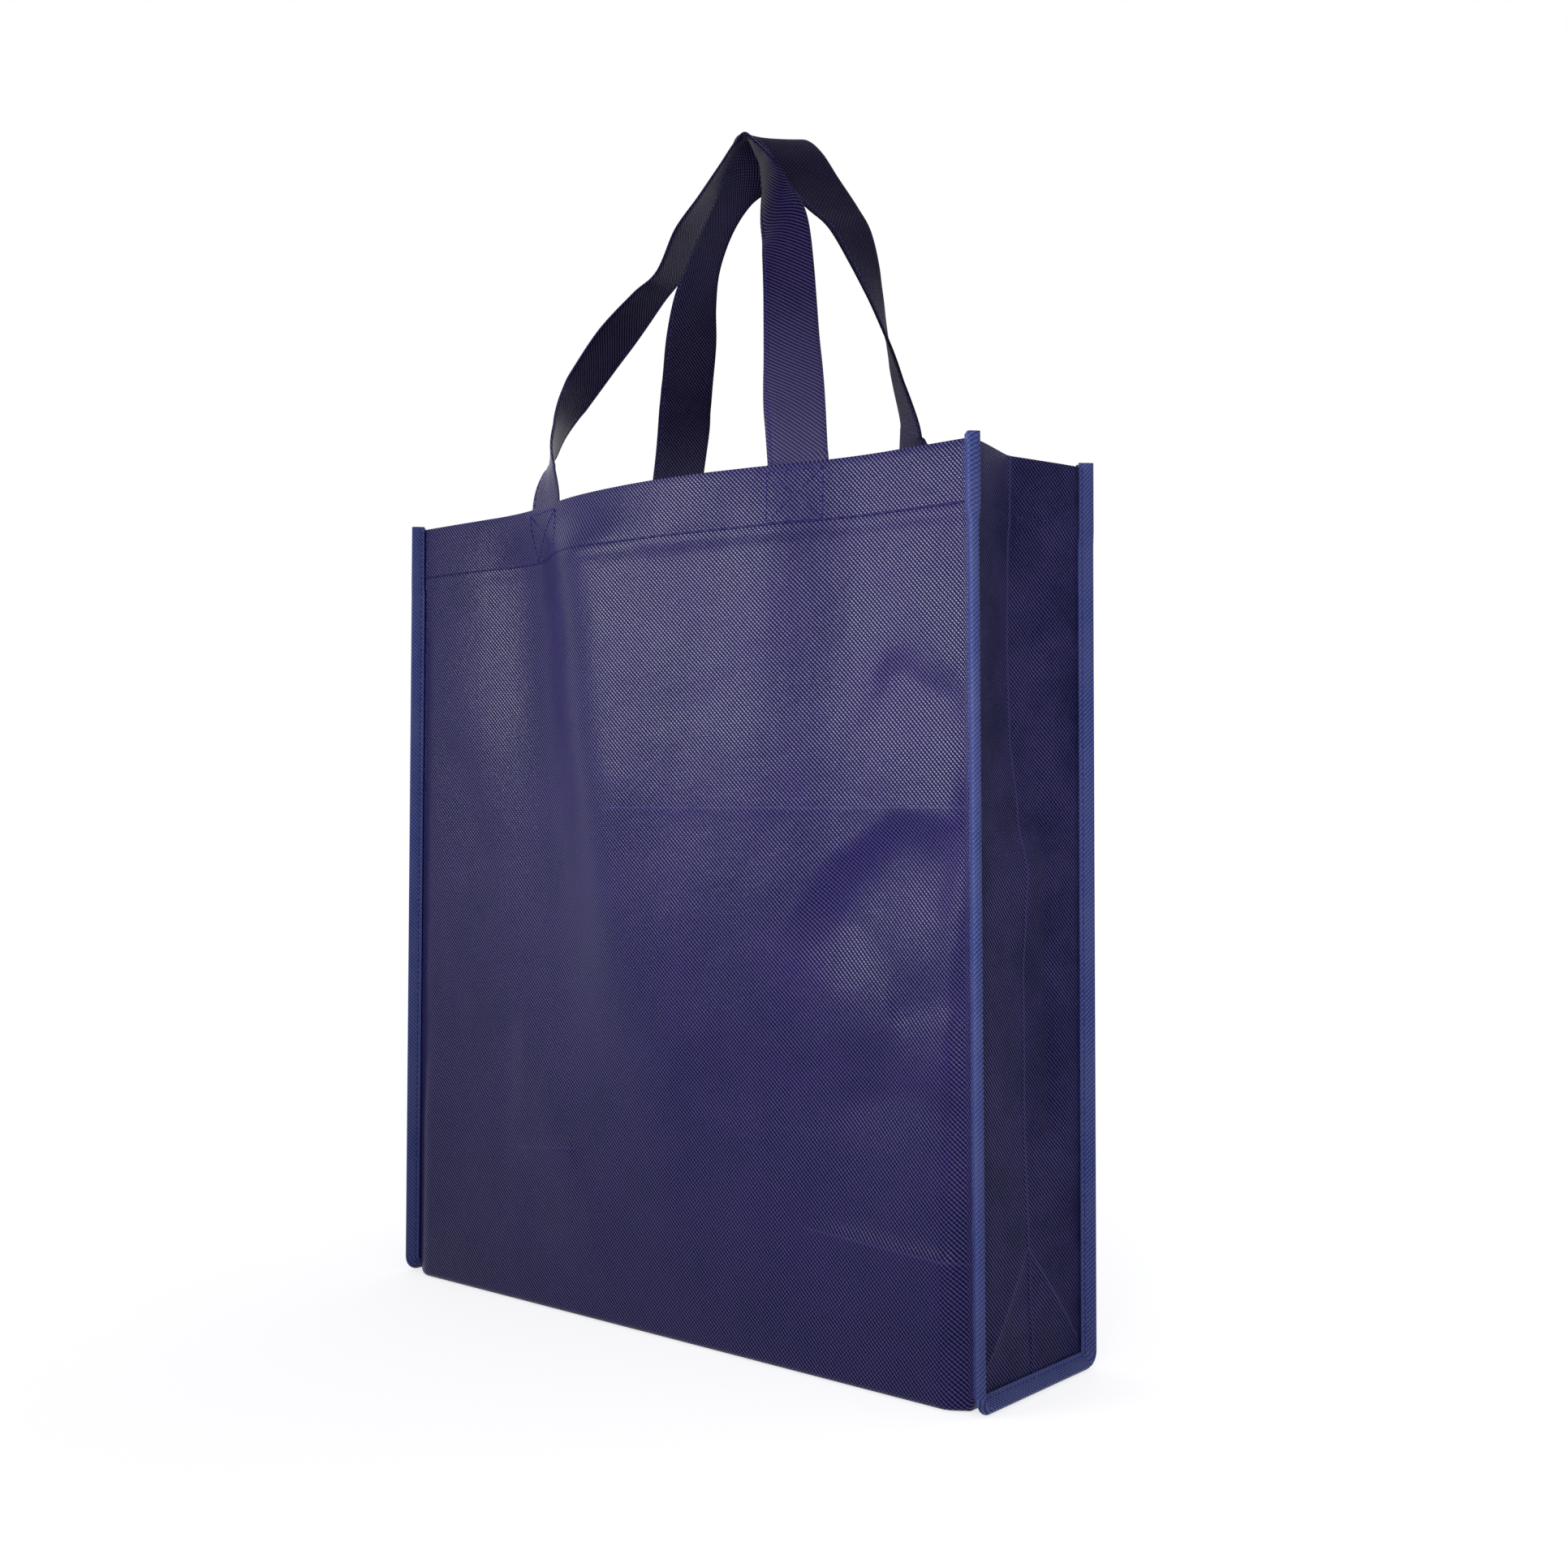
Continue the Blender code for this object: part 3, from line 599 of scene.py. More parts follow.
def sew_gusset(side, cloth):
    hand = side_name(side)
    rows = [gusset_row(side, z, SEAM_OFFSET + step) for z, step in hem_fold_rows(FOLD_ROW_STEP)]
    rows += [gusset_row(side, z, layer_offset(z)) for z in upright_heights(GUSSET_ROW_STEP)]
    name, replaced = "gusset_cloth_" + hand, ["gusset_" + hand]
    item, width, length = grid_piece(name, rows, cloth, replaced, GUSSET_MIDDLE_COLUMN)
    # The lip turns both bottom corners and runs along the base, all from the last row
    work = bmesh.new()
    work.from_mesh(item.data)
    work.verts.ensure_lookup_table()
    layer = work.loops.layers.uv.active
    last = (len(rows) - 1) * len(rows[0])
    row = [work.verts[i] for i in range(last, last + len(rows[0]))]
    lip = (SEAM_OFFSET * MITRE, SEAM_ALLOWANCE)
    turns = (22.5, 45.0, 67.5, 90.0)
    stations = [corner_station(-1, turn) for turn in turns]
    reach = HALF_DEPTH - SEAM_CORNER_RADIUS
    stations += [base_station(share * reach) for share in GUSSET_SHARES[1:-1]]
    stations += [corner_station(1, turn) for turn in reversed(turns)]
    added = [tuple(work.verts.new(s.point(side, SEAM_OFFSET, a)) for a in lip) for s in stations]
    chain = [(row[2], row[0])] + added + [(row[-3], row[-1])]
    faces = [work.faces.new((a[0], b[0], b[1], a[1])) for a, b in zip(chain, chain[1:])]
    inner = row[3:-3]
    upper = [inner[0]] * (len(turns) + 1) + inner[1:] + [inner[-1]] * len(turns)
    lower = [pair[0] for pair in chain]
    for i in range(len(lower) - 1):
        a = upper[min(i, len(upper) - 1)]
        b = upper[min(i + 1, len(upper) - 1)]
        ring = [a, b, lower[i + 1], lower[i]] if a is not b else [a, lower[i + 1], lower[i]]
        if len(set(ring)) == len(ring) and work.faces.get(ring) is None:
            faces.append(work.faces.new(ring))
    for face in faces:
        face.smooth = True
        for loop in face.loops:
            spot = loop.vert.co
            loop[layer].uv = (spot.y + HALF_DEPTH + SEAM_ALLOWANCE, length + CORNER_TOP - spot.z)
    bmesh.ops.recalc_face_normals(work, faces=work.faces)
    work.to_mesh(item.data)
    work.free()
    cloth_thickness(item)


def seam_stations(step):
    """Stations down the front seam, round the base and up the back, with the hem's extra."""
    turns = (0.0, 15.0, 30.0, 45.0, 60.0, 75.0, 90.0)
    heights = spaced(BAG_HEIGHT + BINDING_OVERRUN, CORNER_TOP, int(BAG_HEIGHT / step))[:-1]
    runs = []
    for face in (-1, 1):
        run = [(upright_station(face, z), layer_offset(z) - SEAM_OFFSET) for z in heights]
        runs.append(run + [(corner_station(face, turn), 0.0) for turn in turns])
    width = HALF_DEPTH - SEAM_CORNER_RADIUS
    base = [(base_station(y), 0.0) for y in spaced(-width, width, int(BAG_DEPTH / step))[1:-1]]
    return runs[0] + base + list(reversed(runs[1]))


def binding_section(extra, wave):
    """The folded tape: inner face, then its outer face, pulled in along the stitches."""
    inner = BINDING_SIDE + extra
    outer = inner + BINDING_THICKNESS
    start = inner * MITRE
    tip = BINDING_OUTER_DEPTH
    soft = BINDING_TIP_RADIUS
    outline = []
    for along in spaced(start, tip - soft, 7):
        dip = BINDING_DIP * exp(-(((along - BINDING_STITCH_INSET) / STITCH_DIP_REACH) ** 2))
        lift = wave * smooth_step(1 - (along - start) / 0.002)
        outline.append((outer - dip + lift, along))
    for turn in (22.5, 45.0, 67.5, 90.0):
        angle = radians(turn)
        outline.append((outer - soft + soft * cos(angle), tip - soft + soft * sin(angle)))
    outline += [(0.0, tip)]
    mirrored = [(-across, along) for across, along in reversed(outline[:-1])]
    depth = BINDING_INNER_DEPTH
    return outline + mirrored + [(-inner, start), (-inner, depth), (inner, depth), (inner, start)]


def ring_piece(name, rings, material, replaced, coords_down):
    """A closed tube of rings, with flat ends."""
    size = len(rings[0])
    points = [p for ring in rings for p in ring]
    faces = []
    for r in range(len(rings) - 1):
        for c in range(size):
            d = (c + 1) % size
            faces.append((r * size + c, r * size + d, (r + 1) * size + d, (r + 1) * size + c))
    last = (len(rings) - 1) * size
    faces.append(tuple(reversed(range(size))))
    faces.append(tuple(range(last, last + size)))
    around = lengths_along(rings[len(rings) // 2])
    coords = [(around[c], coords_down[r]) for r in range(len(rings)) for c in range(size)]
    item = mesh_piece(name, points, faces, coords, material, replaced)
    work = bmesh.new()
    work.from_mesh(item.data)
    bmesh.ops.recalc_face_normals(work, faces=work.faces)
    for edge in work.edges:
        if edge.calc_face_angle(0.0) > radians(50):
            edge.smooth = False
    work.to_mesh(item.data)
    work.free()
    return item


def sew_binding(side, tape):
    hand = side_name(side)
    stations = seam_stations(BINDING_ROW_STEP)
    rings = []
    down = [0.0]
    for i, (station, extra) in enumerate(stations):
        if i:
            before = stations[i - 1][0]
            down.append(down[-1] + hypot(station.y - before.y, station.z - before.z))
        wave = BINDING_WAVE * noise.noise(Vector((down[-1] * 90, side * 4.0, 2.0)))
        rings.append([station.point(side, a, b) for a, b in binding_section(extra, wave)])
    item = ring_piece("binding_tape_" + hand, rings, tape, ["binding_" + hand], down)


def curve_through(points, steps):
    """Points of a Catmull-Rom curve through given points of any dimension."""
    padded = [points[0]] + list(points) + [points[-1]]
    result = []
    for i in range(1, len(padded) - 2):
        before, start, end, after = padded[i - 1:i + 3]
        for k in range(steps):
            t = k / steps
            result.append([
                0.5 * (2 * b + (c - a) * t + (2 * a - 5 * b + 4 * c - d) * t ** 2
                       + (3 * b - a - 3 * c + d) * t ** 3)
                for a, b, c, d in zip(before, start, end, after)
            ])
    result.append(list(points[-1]))
    return result


def strap_seat(face, x, z):
    """Depth of the strap's middle where it lies inside the hem."""
    gap = FABRIC / 2 + CLEARANCE + STRAP_THICKNESS / 2
    return panel_y(face, x, z, SEAM_OFFSET) - face * gap


def seat_turn(face, x, z):
    half = STRAP_WIDTH / 2
    return degrees(atan2(strap_seat(face, x + half, z) - strap_seat(face, x - half, z), 2 * half))


def handle_stations(face, route):
    """The whole route: sewn end, free loop, sewn end, as x, y, z, turn and tilt."""
    sewn = spaced(HEM_END + CLEARANCE, BAG_HEIGHT + 2 * CLEARANCE, 9)
    ends = []
    for side, twist in ((-1, 0.0), (1, 180.0 if face > 0 else 0.0)):
        x = HANDLE_SHIFT + side * STRAP_OFFSET
        seats = [(strap_seat(face, x, z), z, seat_turn(face, x, z) + twist) for z in sewn]
        ends.append([(x, y, z, turn, 0.0) for y, z, turn in seats])
    left = ends[0]
    right = list(reversed(ends[1]))
    free = [
        (HANDLE_SHIFT + x * STRAP_OFFSET, y * HALF_DEPTH, BAG_HEIGHT + z * HANDLE_RISE, turn, tilt)
        for x, y, z, turn, tilt in route
    ]
    loop = curve_through([left[-1]] + free + [right[0]], 14)
    return left[:-1] + loop + right[1:]


def strap_frames(face, route):
    """For each station: its middle, width direction, outward normal and settled flag."""
    stations = handle_stations(face, route)
    frames = []
    for i, (x, y, z, turn, tilt) in enumerate(stations):
        ahead = Vector(stations[min(i + 2, len(stations) - 1)][:3])
        behind = Vector(stations[max(i - 2, 0)][:3])
        tangent = (ahead - behind).normalized()
        turn = radians(turn)
        tilt = radians(tilt)
        guide = Vector((cos(turn) * cos(tilt), sin(turn) * cos(tilt), sin(tilt)))
        normal = tangent.cross(guide).normalized()
        across = normal.cross(tangent)
        settle = 1 - smooth_step((z - BAG_HEIGHT) / STRAP_SETTLE_RUN)
        frames.append((Vector((x, y, z)), across, normal, settle))
    return frames


def on_strap(face, place, share, height):
    """A point of the strap at a share of its width and a height off its middle."""
    centre, across, normal, settle = place
    point = centre + across * STRAP_WIDTH * share
    if settle > 0:
        middle = strap_seat(face, centre.x, centre.z)
        seated = centre.y + strap_seat(face, point.x, centre.z) - middle
        point.y += settle * (seated - point.y)
    return point + normal * height


# Places of the strap's columns, in shares of its width, close together at the stitches
STRAP_SHARES = (
    -0.5, -0.485, -0.455, -0.43, -0.4167, -0.403, -0.37, -0.28,
    -0.14, 0.0, 0.14, 0.28, 0.37, 0.43, 0.47, 0.5,
)
STRAP_STITCH_SHARE = -0.5 + STRAP_EDGE_STITCH / STRAP_WIDTH


def strap_half(share):
    """Half thickness of the doubled strap: thin rounded edges, a dip at the stitches."""
    edge = max(abs(share) - 0.44, 0.0) / 0.06
    half = STRAP_THICKNESS / 2 * (1 - 0.55 * edge ** 2)
    off = (share - STRAP_STITCH_SHARE) * STRAP_WIDTH
    return half - STRAP_DIP * exp(-((off / STITCH_DIP_REACH) ** 2))


def make_handle(face, strap, thread):
    """One strap with the stitches along its edge, which show on both of its faces."""
    name = face_name(face)
    frames = strap_frames(face, FRONT_HANDLE_ROUTE if face < 0 else BACK_HANDLE_ROUTE)
    rings = []
    down = lengths_along([place[0] for place in frames])
    for place, s in zip(frames, down):
        top = []
        foot = []
        for share in STRAP_SHARES:
            spot = Vector((s * 45, share * 1.5, face * 7.0))
            sway = STRAP_SWAY * noise.noise(spot) * (1 - place[3])
            half = strap_half(share)
            top.append(on_strap(face, place, share, half + sway))
            foot.append(on_strap(face, place, share, -half + sway))
        rings.append(top + list(reversed(foot)))
    item = ring_piece("handle_strap_" + name, rings, strap, ["handle_" + name], down)
    free = [place for place in frames if place[0].z > BAG_HEIGHT]
    lift = strap_half(STRAP_STITCH_SHARE) + THREAD_RADIUS * 0.4
    share = STRAP_STITCH_SHARE
    runs = [
        [(on_strap(face, place, share, sign * lift), place[2] * sign) for place in free]
        for sign in (1, -1)
    ]
    thread_piece("handle_edge_stitches_" + name, runs, thread)


def stitch_run(route, pitch):
    """Stitches laid end to end along a route of (point, outward direction)."""
    down = lengths_along([p for p, n in route])
    count = max(int(down[-1] / pitch), 1)
    pitch = down[-1] / count
    found = []

    def spot(distance):
        distance = min(max(distance, 0.0), down[-1])
        low = 0
        high = len(down) - 1
        while high - low > 1:
            centre = (low + high) // 2
            low, high = (centre, high) if down[centre] <= distance else (low, centre)
        t = (distance - down[low]) / max(down[high] - down[low], 1e-9)
        return route[low][0].lerp(route[high][0], t), route[low][1].lerp(route[high][1], t)

    for i in range(count):
        start = (i + 0.08) * pitch
        end = (i + 0.92) * pitch
        line = []
        for k in range(6):
            t = k / 5
            point, out = spot(start + (end - start) * t)
            sink = (abs(2 * t - 1) ** 4) * THREAD_RADIUS * 1.7
            line.append((point - out * sink, out))
        found.append(line)
    return found


def thread_piece(name, runs, thread, replaced=(), pitch=STITCH_PITCH):
    """All the stitches of one seam, each a short rounded length of thread."""
    points = []
    faces = []
    coords = []
    sides = THREAD_SIDES
    for route in runs:
        for line in stitch_run(route, pitch):
            base = len(points)
            for i, (centre, out) in enumerate(line):
                ahead = line[min(i + 1, len(line) - 1)][0]
                behind = line[max(i - 1, 0)][0]
                tangent = (ahead - behind).normalized()
                side = tangent.cross(out).normalized()
                lift = side.cross(tangent)
                radius = THREAD_RADIUS * (0.55 if i in (0, len(line) - 1) else 1.0)
                for k in range(sides):
                    turn = 2 * pi * k / sides
                    points.append(centre + (side * cos(turn) + lift * sin(turn)) * radius)
                    coords.append((k / sides * 0.0016, i * 0.0005))
            for i in range(len(line) - 1):
                for k in range(sides):
                    a = base + i * sides + k
                    b = base + i * sides + (k + 1) % sides
                    faces.append((a, a + sides, b + sides, b))
            last = base + (len(line) - 1) * sides
            faces.append(tuple(range(base, base + sides)))
            faces.append(tuple(reversed(range(last, last + sides))))
    item = mesh_piece(name, points, faces, coords, thread, replaced)


def hem_point(face, x, z):
    lift = FABRIC / 2 + THREAD_RADIUS * 0.7
    y = panel_y(face, x, z, layer_offset(z) + stitch_dip(z)) + face * lift
    slope = (panel_y(face, x + 0.002, z, 0.0) - panel_y(face, x - 0.002, z, 0.0)) / 0.004
    return Vector((x, y, z)), Vector((-face * slope, 1.0, 0.0)).normalized() * face


def sew_hem(face, thread):
    name = face_name(face)
    end = HALF_WIDTH - FRONT_EDGE_LEAN - 2 * BINDING_THICKNESS
    route = [hem_point(face, x, HEM_STITCH) for x in spaced(-end, end, 180)]
    thread_piece("hem_stitches_" + name, [route], thread, ["hem_seam_" + name])


def sew_gusset_hem(side, thread):
    name = side_name(side)
    end = HALF_DEPTH - 2 * BINDING_THICKNESS
    lift = layer_offset(HEM_STITCH) + FABRIC / 2 + THREAD_RADIUS * 0.5 - HEM_DIP
    route = [
        (Vector((side * gusset_x(y, HEM_STITCH, lift), y, HEM_STITCH)), Vector((side, 0, 0)))
        for y in spaced(-end, end, 40)
    ]
    thread_piece("hem_stitches_" + name, [route], thread, ["hem_seam_" + name])


def sew_box(face, side, thread):
    """Stitches of the sewn box with its cross that fixes one end of a handle."""
    half = STRAP_WIDTH / 2 - BOX_SEAM_INSET
    middle = HANDLE_SHIFT + side * STRAP_OFFSET
    top = BAG_HEIGHT - 2 * BOX_SEAM_INSET
    foot = HEM_STITCH + BOX_SEAM_RISE
    corners = [(half, top), (-half, top), (-half, foot), (half, foot)]
    lines = list(zip(corners, corners[1:] + corners[:1]))
    lines += [(corners[0], corners[2]), (corners[1], corners[3])]
    runs = []
    for (x0, z0), (x1, z1) in lines:
        spots = [(middle + x0 + (x1 - x0) * t, z0 + (z1 - z0) * t) for t in spaced(0.0, 1.0, 16)]
        runs.append([hem_point(face, x, z) for x, z in spots])
    name = face_name(face) + "_" + side_name(side)
    replaced = ["handle_seam_" + name]
    thread_piece("handle_stitches_" + name, runs, thread, replaced, BOX_STITCH_PITCH)


def sew_binding_edge(side, thread):
    name = side_name(side)
    runs = []
    for way in (1, -1):
        route = []
        for station, extra in seam_stations(BINDING_ROW_STEP)[1:-1]:
            across = BINDING_SIDE + extra + BINDING_THICKNESS - BINDING_DIP + THREAD_RADIUS * 0.5
            spot = station.point(side, way * across, BINDING_STITCH_INSET)
            further = station.point(side, way * (across + 0.001), BINDING_STITCH_INSET)
            route.append((spot, (further - spot).normalized()))
        runs.append(route)
    thread_piece("binding_stitches_" + name, runs, thread, ["binding_seam_" + name])


class NodeSheet:
    """Short ways to place and join shader nodes in one tree."""

    def __init__(self, tree):
        self.tree = tree
        self.nodes = tree.nodes
        self.links = tree.links

    def add(self, kind, **settings):
        node = self.nodes.new(kind)
        for key, value in settings.items():
            setattr(node, key, value)
        return node

    def join(self, output, target):
        self.links.new(output, target)

    def maths(self, operation, *values, clamp=False):
        node = self.add("ShaderNodeMath", operation=operation, use_clamp=clamp)
        for i, value in enumerate(values):
            if isinstance(value, (int, float)):
                node.inputs[i].default_value = value
            else:
                self.join(value, node.inputs[i])
        return node.outputs[0]

    def vector(self, operation, first, second=None):
        node = self.add("ShaderNodeVectorMath", operation=operation)
        self.join(first, node.inputs[0])
        if isinstance(second, tuple):
            node.inputs[1].default_value = second
        elif second is not None:
            self.join(second, node.inputs[1])
        return node.outputs["Value"] if operation in ("LENGTH", "DOT_PRODUCT") else node.outputs[0]

    def noise(self, place, scale, detail, roughness=0.55):
        node = self.add("ShaderNodeTexNoise")
        node.inputs["Scale"].default_value = scale
        node.inputs["Detail"].default_value = detail
        node.inputs["Roughness"].default_value = roughness
        self.join(place, node.inputs["Vector"])
        return node.outputs["Fac"]

    def range(self, value, low, high):
        """A smooth mask: zero at low, one at high."""
        node = self.add("ShaderNodeMapRange", interpolation_type="SMOOTHSTEP")
        self.join(value, node.inputs["Value"])
        node.inputs["From Min"].default_value = low
        node.inputs["From Max"].default_value = high
        return node.outputs["Result"]

    def surround_rays(self):
        """One for the rays that see or mirror the white surround, zero for light on the bag."""
        rays = self.add("ShaderNodeLightPath")
        seen = self.maths("MAXIMUM", rays.outputs["Is Camera Ray"], rays.outputs["Is Glossy Ray"])
        return self.maths("MAXIMUM", seen, rays.outputs["Is Transmission Ray"])

    def bump(self, height, strength, distance):
        node = self.add("ShaderNodeBump")
        node.inputs["Strength"].default_value = strength
        node.inputs["Distance"].default_value = distance
        self.join(height, node.inputs["Height"])
        return node

    def blend(self, share, first, second):
        node = self.add("ShaderNodeMix", data_type="RGBA")
        for key, value in ((0, share), (6, first), (7, second)):
            if isinstance(value, tuple):
                node.inputs[key].default_value = (*value, 1.0)
            else:
                self.join(value, node.inputs[key])
        return node.outputs[2]


def mask_group(name, masks):
    """A new node group from cloth coordinates to masks, with its sheet, input and output."""
    group = bpy.data.node_groups.new(name, "ShaderNodeTree")
    group.interface.new_socket("Cloth", in_out="INPUT", socket_type="NodeSocketVector")
    for mask in masks:
        group.interface.new_socket(mask, in_out="OUTPUT", socket_type="NodeSocketFloat")
    sheet = NodeSheet(group)
    place = sheet.add("NodeGroupInput").outputs["Cloth"]
    return group, sheet, place, sheet.add("NodeGroupOutput")


def new_material(name):
    material = bpy.data.materials.new(name)
    material.use_nodes = True
    sheet = NodeSheet(material.node_tree)
    return material, sheet, sheet.nodes["Principled BSDF"]


def emboss_group():
    """Pressed pattern of the spunbond sheet: small leaning dots in staggered rows."""
    group, sheet, cloth, result = mask_group("pressed dots", ["Dots"])
    scaled = sheet.add("ShaderNodeVectorMath", operation="SCALE")
    sheet.join(cloth, scaled.inputs[0])
    scaled.inputs["Scale"].default_value = 1 / EMBOSS_PITCH
    masks = []
    for shift in (0.0, 0.5):
        moved = sheet.vector("ADD", scaled.outputs[0], (shift, shift, 0.0))
        cell = sheet.vector("FRACTION", moved)
        centred = sheet.vector("SUBTRACT", cell, (0.5, 0.5, 0.0))
        squares = []
        for way in (DOT_LONG_WAY, DOT_SHORT_WAY):
            share = sheet.vector("DOT_PRODUCT", centred, way)
            squares.append(sheet.maths("MULTIPLY", share, share))
        masks.append(sheet.range(sheet.maths("ADD", *squares), 1.0, 0.15))
    sheet.join(sheet.maths("MAXIMUM", *masks), result.inputs["Dots"])
    return group


def fibre_group():
    """Fine fibres, broad blotches and soft crumples of the spunbond sheet."""
    masks = ["Fibres", "Blotches", "Crumples"]
    group, sheet, cloth, result = mask_group("spun fibres", masks)
    stretched = sheet.vector("MULTIPLY", cloth, (1.0, 0.22, 1.0))
    slanted = sheet.add("ShaderNodeMapping")
    slanted.inputs["Rotation"].default_value = (0.0, 0.0, radians(63))
    slanted.inputs["Scale"].default_value = (1.0, 0.18, 1.0)
    sheet.join(cloth, slanted.inputs["Vector"])
    first = sheet.range(sheet.noise(stretched, 1500.0, 2.0), 0.45, 0.72)
    second = sheet.range(sheet.noise(slanted.outputs[0], 1300.0, 2.0), 0.45, 0.72)
    sheet.join(sheet.maths("MAXIMUM", first, second), result.inputs["Fibres"])
    broad = sheet.noise(cloth, 26.0, 4.0, 0.6)
    sheet.join(sheet.range(broad, 0.32, 0.68), result.inputs["Blotches"])
    sheet.join(sheet.noise(cloth, 62.0, 3.0, 0.6), result.inputs["Crumples"])
    return group


def worn_line(sheet, place, line):
    """A mask of a worn crease: one along the line, none beside it."""
    start, end = line
    along = tuple(b - a for a, b in zip(start, end))
    square = sum(c * c for c in along)
    away = sheet.vector("SUBTRACT", place, start)
    share = sheet.maths("DIVIDE", sheet.vector("DOT_PRODUCT", away, along), square, clamp=True)
    step = sheet.add("ShaderNodeVectorMath", operation="SCALE")
    step.inputs[0].default_value = along
    sheet.join(share, step.inputs["Scale"])
    off = sheet.vector("LENGTH", sheet.vector("SUBTRACT", away, step.outputs[0]))
    return sheet.range(off, *WORN_LINE_REACH)


def cloth_material(name, colour, pale, rough, shine, groups, depth,
                   across=None, worn=(), mottle=0.25, sewn=None, foot=None):
    """Embossed spunbond cloth: pale pressed dots, fibres, blotches and worn creases.

    across picks the two directions in which worn lines and the sewn line's painted shade are
    drawn, and foot is the height at which a strap's painted sheen is full, and that at which it is
    gone.
    """
    emboss, fibre = groups
    material, sheet, surface = new_material(name)
    uv = sheet.add("ShaderNodeUVMap", uv_map="cloth")
    dots = sheet.add("ShaderNodeGroup", node_tree=emboss)
    sheet.join(uv.outputs[0], dots.inputs["Cloth"])
    spun = sheet.add("ShaderNodeGroup", node_tree=fibre)
    sheet.join(uv.outputs[0], spun.inputs["Cloth"])
    dark = (colour[0] * 0.45, colour[1] * 0.6, colour[2] * 0.85)
    body = sheet.blend(spun.outputs["Blotches"], dark, colour)
    strength = sheet.maths("MULTIPLY_ADD", spun.outputs["Blotches"], mottle, 1 - mottle)
    strength = sheet.maths("MULTIPLY", strength, dots.outputs["Dots"])
    strength = sheet.maths("MULTIPLY_ADD", spun.outputs["Fibres"], 0.16, strength, clamp=True)
    if worn:
        spot = sheet.add("ShaderNodeTexCoord").outputs["Object"]
        flat = sheet.vector("MULTIPLY", spot, across)
        dashed = sheet.maths("MULTIPLY_ADD", dots.outputs["Dots"], 0.5, 0.5)
        for line in worn:
            mask = sheet.maths("MULTIPLY", worn_line(sheet, flat, line), dashed)
            strength = sheet.maths("MAXIMUM", strength, mask)
    level = sheet.maths("MULTIPLY_ADD", dots.outputs["Dots"], shine, shine * 0.1)
    # Painted shade: along the sewn line the pale dots and the shine are cut to 45 per cent,
    # standing for the shade in the groove the stitches pull in.
    if sewn:
        painted_shade_keep = sheet.maths("MULTIPLY_ADD", worn_line(sheet, flat, sewn), -0.55, 1.0)
        strength = sheet.maths("MULTIPLY", strength, painted_shade_keep)
        level = sheet.maths("MULTIPLY", level, painted_shade_keep)
    # Painted sheen: from the upper foot height down to the lower one a strap is drawn paler, and
    # its shine rises from 0.8 to 4.4 times, standing for the sheen the lamps lay on its lower
    # part.
    if foot:
        upright = sheet.add("ShaderNodeSeparateXYZ")
        sheet.join(sheet.add("ShaderNodeTexCoord").outputs["Object"], upright.inputs[0])
        painted_sheen_share = sheet.range(upright.outputs["Z"], foot[1], foot[0])
        strength = sheet.maths("MULTIPLY_ADD", painted_sheen_share, 0.30, strength, clamp=True)
        painted_sheen_gain = sheet.maths("MULTIPLY_ADD", painted_sheen_share, 3.6, 0.8)
        level = sheet.maths("MULTIPLY", level, painted_sheen_gain)
    sheet.join(sheet.blend(strength, body, pale), surface.inputs["Base Color"])
    sheet.join(level, surface.inputs["Specular IOR Level"])
    gloss = sheet.maths("MULTIPLY_ADD", dots.outputs["Dots"], -0.10, rough)
    gloss = sheet.maths("MULTIPLY_ADD", spun.outputs["Blotches"], 0.05, gloss)
    sheet.join(gloss, surface.inputs["Roughness"])
    height = sheet.maths("MULTIPLY_ADD", spun.outputs["Fibres"], 0.25, dots.outputs["Dots"])
    bump = sheet.bump(height, 0.8, depth)
    crumple = sheet.bump(spun.outputs["Crumples"], 1.0, CRUMPLE_DEPTH)
    sheet.join(crumple.outputs[0], bump.inputs["Normal"])
    sheet.join(bump.outputs[0], surface.inputs["Normal"])
    return material


def thread_material(name, colour):
    """Twisted sewing thread."""
    material, sheet, surface = new_material(name)
    surface.inputs["Roughness"].default_value = 0.5
    surface.inputs["Specular IOR Level"].default_value = 0.3
    uv = sheet.add("ShaderNodeUVMap", uv_map="cloth")
    wave = sheet.add("ShaderNodeTexWave", bands_direction="DIAGONAL")
    wave.inputs["Scale"].default_value = 620.0
    sheet.join(uv.outputs[0], wave.inputs["Vector"])
    dark = tuple(c * 0.55 for c in colour)
    sheet.join(sheet.blend(wave.outputs["Fac"], dark, colour), surface.inputs["Base Color"])
    bump = sheet.bump(wave.outputs["Fac"], 0.5, THREAD_TWIST_DEPTH)
    sheet.join(bump.outputs[0], surface.inputs["Normal"])
    return material


def lay_floor():
    mesh = bpy.data.meshes.new("floor")
    reach = FLOOR_REACH
    corners = [(-reach, -reach, 0), (reach, -reach, 0), (reach, reach, 0), (-reach, reach, 0)]
    mesh.from_pydata(corners, [], [(0, 1, 2, 3)])
    floor = bpy.data.objects.new("floor", mesh)
    bpy.context.scene.collection.objects.link(floor)
    floor.location.z = -FLOOR_GAP
    material, sheet, surface = new_material("pale floor")
    surface.inputs["Base Color"].default_value = FLOOR_COLOUR
    surface.inputs["Roughness"].default_value = 0.9
    surface.inputs["Specular IOR Level"].default_value = 0.0
    sheet.join(sheet.surround_rays(), surface.inputs["Emission Strength"])
    surface.inputs["Emission Color"].default_value = FLOOR_GLOW
    mesh.materials.append(material)


